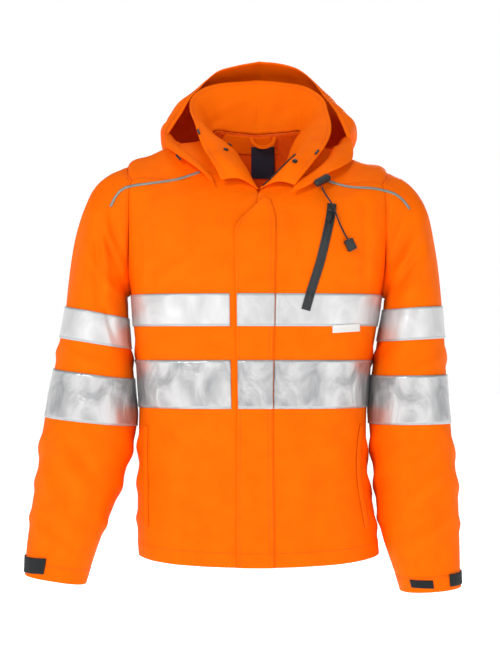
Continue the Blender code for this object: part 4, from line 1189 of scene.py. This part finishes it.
def strip(node, tree, side, path, count, half_width, look, profile, thickness=0.8, lift=1.1):
    """A narrow strip sewn along a path: profile is its height across, from edge to edge, in millimetres."""
    spots, normals = zip(*[laid(tree, side, *place) for place in smooth_path(path, count)])
    grid = []
    for number, spot in enumerate(spots):
        around = range(max(number - 3, 0), min(number + 4, len(spots)))
        normal = sum((normals[i] for i in around), Vector()).normalized()
        near = (max(number - 1, 0), number, min(number + 1, len(spots) - 1))
        middle = sum((spots[i] for i in near), Vector()) / 3
        run = (spots[around[-1]] - spots[around[0]]).normalized()
        aside = run.cross(normal).normalized()
        last = len(profile) - 1
        grid.append(
            [
                middle + aside * half_width * MM * (2 * i / last - 1) + normal * height * MM
                for i, height in enumerate(profile)
            ]
        )
    inside = spots[len(spots) // 2] - normals[len(spots) // 2] * 0.05
    cloth(node, grid, look, thickness, lift, inside=inside, folds=(), wave=0, held="laid")
    return grid


def patch(node, tree, side, outline, rows, columns, look, thickness=0.8, lift=1.1, **more):
    """A flat patch between a left and a right edge: outline rows are x_left, x_right, z_left, z_right."""
    grid, facing = [], []
    for x_left, x_right, z_left, z_right in smooth_path(outline, rows):
        line = []
        for column in range(columns + 1):
            part = column / columns
            x, z = x_left + (x_right - x_left) * part, z_left + (z_right - z_left) * part
            line.append(laid(tree, side, x, z))
        grid.append([point for point, _ in line])
        facing.append([normal for _, normal in line])
    middle = grid[rows // 2][columns // 2] - facing[rows // 2][columns // 2] * 0.05
    return cloth(node, grid, look, thickness, lift, inside=middle, folds=(), wave=0, held="laid", **more)


BODY_NODES = [f"{piece}_{side}" for piece in ("front", "saddle", "sleeve") for side in ("left", "right")]
BODY_NODES.append("back")
TAPE_SIDES = ("left", "right", "back", "flap")
TAPE_NODES = [f"tape_{tape}_{side}" for tape in ("chest", "waist") for side in TAPE_SIDES]
under = cloth_tree(BODY_NODES)
top_layer = cloth_tree(BODY_NODES + TAPE_NODES)

ZIP_PATH = ((114, -68), (112, -84), (108, -104), (102, -130), (95, -158), (87, -184), (80, -206), (73, -231))
zip_profile = (0, 0.25, 0.3, 0.3, 0.15, -0.35, 0.15, 0.3, 0.3, 0.25, 0)
strip("chest_zip", top_layer, "front", ZIP_PATH, 60, 6.6, COATED, zip_profile, lift=1.4)

PIPING_PATHS = {
    "right": (
        ((-88, -17), (-108, -24), (-128, -30), (-165, -35.5))
        + ((-191, -38), (-207, -42), (-218, -53), (-227, -70))
    ),
    "left": (
        ((107, -30), (120, -35), (133, -39), (151, -42), (172, -42.5))
        + ((195, -45), (213, -50), (226, -60), (236, -74))
    ),
}
half_round = [1.1 * math.sqrt(max(1 - (i / 4 - 1) ** 2, 0)) for i in range(9)]
for side, path in PIPING_PATHS.items():
    strip("piping_" + side, under, "front", path, 70, 1.5, PIPING, half_round, 0.7, 0.9)

WELTS = {
    "left": ((161, -408), (157, -440), (156, -470), (158, -500), (163, -530), (170, -566)),
    "right": ((-171, -408), (-172, -440), (-172, -470), (-171, -500), (-171, -530), (-170, -566)),
}
welt_profile = (0, 0.5, 0.9, 1.1, 1.2, 1.2, 1.1, 0.9, 0.2)
for side, path in WELTS.items():
    strip("pocket_welt_" + side, under, "front", path, 50, 6, ORANGE, welt_profile, 1.0, 1.6)

label = [(114, 157, z - 1.2, z + 1.4) for z in (-264, -260, -256, -252)]
patch("tape_label", top_layer, "front", label, 6, 16, WHITE, 0.6, 1.0)


def sleeve_patch(node, side, turns, low, top, look, thickness, lift, taper=0.0):
    """A band on a cuff between two heights, its last end narrowing to a round tongue."""
    rows = 8
    middle = [(a + b) / 2 for a, b in zip(low, top)]
    grid = []
    for row in range(rows + 1):
        line = []
        for number, turn in enumerate(turns):
            last = len(turns) - 1 - number
            width = 1.0
            if taper and last < 5:
                width = math.sqrt(max(1 - (1 - (last + 0.3) / 5) ** 2, 0))
            share = (1 - math.cos(math.radians(turn))) / 2
            part = 0.5 + (row / rows - 0.5) * width
            base = low[0] + (low[1] - low[0]) * share
            height = base + (top[0] + (top[1] - top[0]) * share - base) * part
            line.append(sleeve_point(SLEEVES[side], sleeve_at(SLEEVES[side], turn, height * MM), turn))
        grid.append(line)
    inside = Vector((SLEEVES[side][-1][0] + SLEEVES[side][-1][2], 2 * SLEEVES[side][-1][5], 0)) / 2 * MM
    inside.z = middle[0] * MM
    return cloth(node, grid, look, thickness, lift, inside=inside, folds=BODY_FOLDS, held="laid", fine=0.0)


for side, low, top in (("left", (-656, -658), (-637, -639)), ("right", (-637, -636), (-613, -612))):
    start = -58 if side == "left" else -72
    turns = [start + (26 - start) * step / 40 for step in range(41)]
    sleeve_patch("cuff_tab_" + side, side, turns, low, top, NAP, 1.6, 2.6, taper=1.0)
turns = [-128 + 40 * step / 16 for step in range(17)]
sleeve_patch("cuff_label", "left", turns, (-659, -658), (-646, -646), BLACK_LABEL, 0.7, 1.7)

# ---------------------------------------------------------------------------
# Inside the back of the neck: the facing, the woven label and the loop to hang the jacket by. The end
# of the front zip shows along the open collar.
# ---------------------------------------------------------------------------
levels = [13.2 + 0.72 * step / 12 for step in range(13)]
facing_grid = body_grid(levels, lambda level: (54, 126), 60)
facing_grid = facing_grid - directions(facing_grid, False, HEART) * 2.2 * MM
cloth("neck_facing", facing_grid, ORANGE, 0.9, 0.3, inside=(0, 0.4, 0.05), folds=(), wave=0.4)

label_rows = []
for step in range(25):
    z = -12 + 50 * step / 24
    line = []
    for column in range(17):
        x = -9 + 38 * column / 16
        level, turn = place_at(x, z, in_front=False) if column % 4 == 0 else (0, 0)
        line.append((level, turn))
    for column in range(17):
        a, b = column // 4 * 4, min(column // 4 * 4 + 4, 16)
        p = (column - a) / 4 if b > a else 0
        line[column] = tuple(u + (v - u) * p for u, v in zip(line[a], line[b]))
    label_rows.append([body_point(*place) - body_normal(*place) * 4.1 * MM for place in line])
cloth("neck_label", label_rows, NAVY, 0.7, 0.0, inside=(0, 0.4, 0.02), folds=(), wave=0.5)

LOOP_PATH = (
    (-10, 63, 51),
    (-6, 62.6, 42),
    (2, 62.4, 36),
    (10, 62.3, 34.5),
    (18, 62.4, 36),
    (26, 62.4, 42),
    (29, 61.8, 51),
)
spots = [Vector(place) * MM for place in smooth_path(LOOP_PATH, 40)]
grid = []
for number, spot in enumerate(spots):
    ahead = spots[min(number + 1, 40)] - spots[max(number - 1, 0)]
    aside = Vector((-ahead.z, 0, ahead.x)).normalized() * 3 * MM
    bulge = [-0.3 * MM * math.sin(math.pi * i / 6) for i in range(7)]
    grid.append([spot + aside * (i / 3 - 1) + Vector((0, bulge[i], 0)) for i in range(7)])
cloth("hanger_loop", grid, ORANGE, 1.0, 0.0, inside=(0, 0.4, 0.04), folds=(), wave=0)


def collar_place(turn, part, over):
    """A place over the collar's face and the face's direction there."""
    column = (turn + 87) / 354 * 150
    spot = COLLAR[int(round(part * 26)), int(round(column))]
    normal = COLLAR_FACING[int(round(part * 26)), int(round(column))]
    return Vector(spot) + Vector(normal) * over * MM, Vector(normal)


places = [collar_place(-90 + 4 + 26 * step / 20, 0.1 + 0.4 * step / 20, 0.0) for step in range(21)]
grid = []
for number, (spot, normal) in enumerate(places):
    run = (places[min(number + 1, 20)][0] - places[max(number - 1, 0)][0]).normalized()
    aside = run.cross(normal).normalized()
    grid.append([spot + aside * (i / 3 - 1) * 2.5 * MM for i in range(7)])
behind = Vector(grid[10][3]) - places[10][1] * 0.05
cloth("collar_zip", grid, COATED, 0.8, 1.2, inside=behind, folds=(), wave=0, held="laid")

# ---------------------------------------------------------------------------
# Hard trims: the chest zip's slider with its swinging pull, the press studs, the ends of the hood's zip
# at the collar, and the tail of the hood's cord at its other end.
# ---------------------------------------------------------------------------
SLIDER_PLACE = place_at(113, -77)
out = body_normal(*SLIDER_PLACE)
down_zip = Vector((-0.24, 0, -0.97))
down_zip = (down_zip - out * down_zip.dot(out)).normalized()
across_zip = down_zip.cross(out)
slider_centre = body_point(*SLIDER_PLACE) + out * 5.45 * MM
slider_frame = place_frame(slider_centre, across_zip, out)
slider = [
    hard_piece(
        "slider",
        (10.6, 12.6, 3.4),
        slider_frame @ Matrix.Translation((0, 0, -0.4 * MM)),
        1.3,
        PLASTIC,
        "chest_slider",
    ),
    hard_piece("bridge", (3.2, 10.4, 2.4), slider_frame @ Matrix.Translation((0, 0, 1.2 * MM)), 0.9, PLASTIC),
]
joined(slider, "chest_slider_body")
pull_hinge = slider_centre + down_zip * 8.3 * MM
pull_frame = place_frame(pull_hinge + down_zip * 7.3 * MM, across_zip, out)
pull = [
    hard_piece(
        name,
        size,
        pull_frame @ Matrix.Translation((0, along_pull * MM, 0)),
        bevel,
        PLASTIC,
        stands_for,
        "zip_pull",
    )
    for name, size, along_pull, bevel, stands_for in (
        ("tab", (6.2, 13.2, 1.9), -1.7, 0.8, "chest_pull"),
        ("neck", (3.2, 4.6, 1.7), 6.1, 0.7, None),
        ("grip", (4.2, 8.4, 2.2), -2.4, 0.5, None),
    )
]
joined(pull, "chest_pull_tab")

STUDS = (("stud_right", -128, 0.5), ("stud_edge", -147, 0.14), ("stud_flap", -70, 0.62))
for name, turn, part in STUDS:
    centre, normal = collar_place(turn, part, 1.0)
    turned = place_frame(centre, normal.orthogonal(), normal)
    rim = hard_piece("stud", (8, 8, 1.7), turned, 0.5, STUD, name, kind="barrel")
    cap = hard_piece("cap", (5, 5, 2.2), turned, 0.6, STUD, kind="barrel")
    joined([rim, cap], name + "_cap")

for side, turn, part in (("left", -54, 0.93), ("right", -152, 0.95)):
    centre, normal = collar_place(turn, part, 1.1)
    along = edge_point(COLLAR_EDGE, turn + 4) - edge_point(COLLAR_EDGE, turn - 4)
    turned = place_frame(centre, along.normalized(), normal)
    end = [hard_piece("end", (12, 3.2, 1.6), turned, 0.5, PLASTIC, "hood_zip_end_" + side)]
    end.append(hard_piece("stop", (3, 3.6, 2), turned @ Matrix.Translation((4 * MM, 0, 0)), 0.6, PLASTIC))
    joined(end, f"hood_zip_end_{side}_stop")

tail = edge_point(HOOD_RIM, -90 - 42) + Vector((0.2, -1, -0.9)) * 3.2 * MM
along = (edge_point(HOOD_RIM, -90 - 50) - edge_point(HOOD_RIM, -90 - 34)).normalized()
tail_frame = place_frame(tail, along, Vector((0, -1, 0.3)))
hard_piece("cord_tail_end", (12.6, 3, 3), tail_frame, 1.2, CORDAGE, "cord_tail", segments=4)

# ---------------------------------------------------------------------------
# Stitching: short threads in rows beside the seams, round the hems and cuffs, along both edges of the
# tapes, and twice down the flap.
# ---------------------------------------------------------------------------


def stitching(name, lines, look, step=3.4, length=2.4, thick=0.5):
    """Threads along lines of (place, direction) pairs, one piece for all of them."""
    spots, faces = [], []
    for line in lines:
        points = np.array([p for p, _ in line])
        normals = np.array([n for _, n in line])
        ways = np.concatenate([[0], np.cumsum(np.linalg.norm(np.diff(points, axis=0), axis=1))])
        for number in range(int(ways[-1] / (step * MM))):
            ends = [np.clip(number * step * MM + way * MM, 0, ways[-1]) for way in (0, length)]
            a, b = (np.array([np.interp(end, ways, points[:, k]) for k in range(3)]) for end in ends)
            up = np.array([np.interp(sum(ends) / 2, ways, normals[:, k]) for k in range(3)])
            up /= np.linalg.norm(up)
            aside = np.cross(b - a, up)
            aside *= thick * MM / 2 / max(np.linalg.norm(aside), 1e-9)
            start = len(spots)
            for end in (a, b):
                base = end + up * 0.05 * MM
                spots += [base - aside, end + up * 0.42 * MM, base + aside, end - up * 0.3 * MM]
            ring = [(i, (i + 1) % 4, 4 + (i + 1) % 4, 4 + i) for i in range(4)] + [(3, 2, 1, 0), (4, 5, 6, 7)]
            faces += [tuple(start + i for i in face) for face in ring]
    data = bpy.data.meshes.new(name)
    data.from_pydata([tuple(map(float, spot)) for spot in spots], [], faces)
    data.materials.append(look)
    data.shade_smooth()
    piece = bpy.data.objects.new(name, data)
    scene.collection.objects.link(piece)
    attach(piece, "jacket")


def row_of(node, at, over=0.0):
    """The places along one row of a piece of cloth, at millimetres in from its first or last row."""
    outer, facing = GRIDS[node]
    way = lengths(outer, 0)
    total = way[-1]
    goal = at * MM if at >= 0 else total + at * MM
    line = []
    for column in range(outer.shape[1]):
        target = goal if np.isscalar(goal) else goal[column]
        place = np.interp(target, way[:, column], np.arange(len(way)))
        low = min(int(place), len(way) - 2)
        p = place - low
        spot = outer[low, column] * (1 - p) + outer[low + 1, column] * p
        line.append((spot + facing[low, column] * over * MM, facing[low, column]))
    return line


def column_of(node, at, rows=slice(None)):
    """The places along one column of a piece of cloth, at millimetres in from its first or last column."""
    outer, facing = GRIDS[node]
    way = lengths(outer, 1)
    line = []
    for row in range(outer.shape[0])[rows]:
        target = at * MM if at >= 0 else way[row, -1] + at * MM
        place = np.interp(target, way[row], np.arange(way.shape[1]))
        low = min(int(place), way.shape[1] - 2)
        p = place - low
        line.append((outer[row, low] * (1 - p) + outer[row, low + 1] * p, facing[row, low]))
    return line


orange_lines = [row_of(node, 22) for node in ("front_left", "front_right", "back", "storm_flap")]
orange_lines += [row_of(f"sleeve_{side}", at) for side in ("left", "right") for at in (22, 24.5)]
orange_lines += [row_of(f"sleeve_{side}", -5) for side in ("left", "right")]
orange_lines += [column_of("storm_flap", -2), column_of("storm_flap", -8), column_of("storm_flap", 5)]
orange_lines += [row_of("collar", -6), row_of("hood", -9), row_of("hood", -11.5)]
orange_lines += [column_of(f"saddle_{side}", at) for side in ("left", "right") for at in (3, -3)]
orange_lines += [column_of(f"pocket_welt_{side}", at) for side in ("left", "right") for at in (2, -2)]
stitching("orange_stitching", orange_lines, THREAD)
tape_lines = [row_of(node, at) for node in TAPE_NODES for at in (2.2, -2.2)]
tape_lines += [
    row_of(f"tape_sleeve_{tape}_{side}", at)
    for tape in ("upper", "lower")
    for side in ("left", "right")
    for at in (2.2, -2.2)
]
stitching("tape_stitching", tape_lines, TAPE_THREAD)
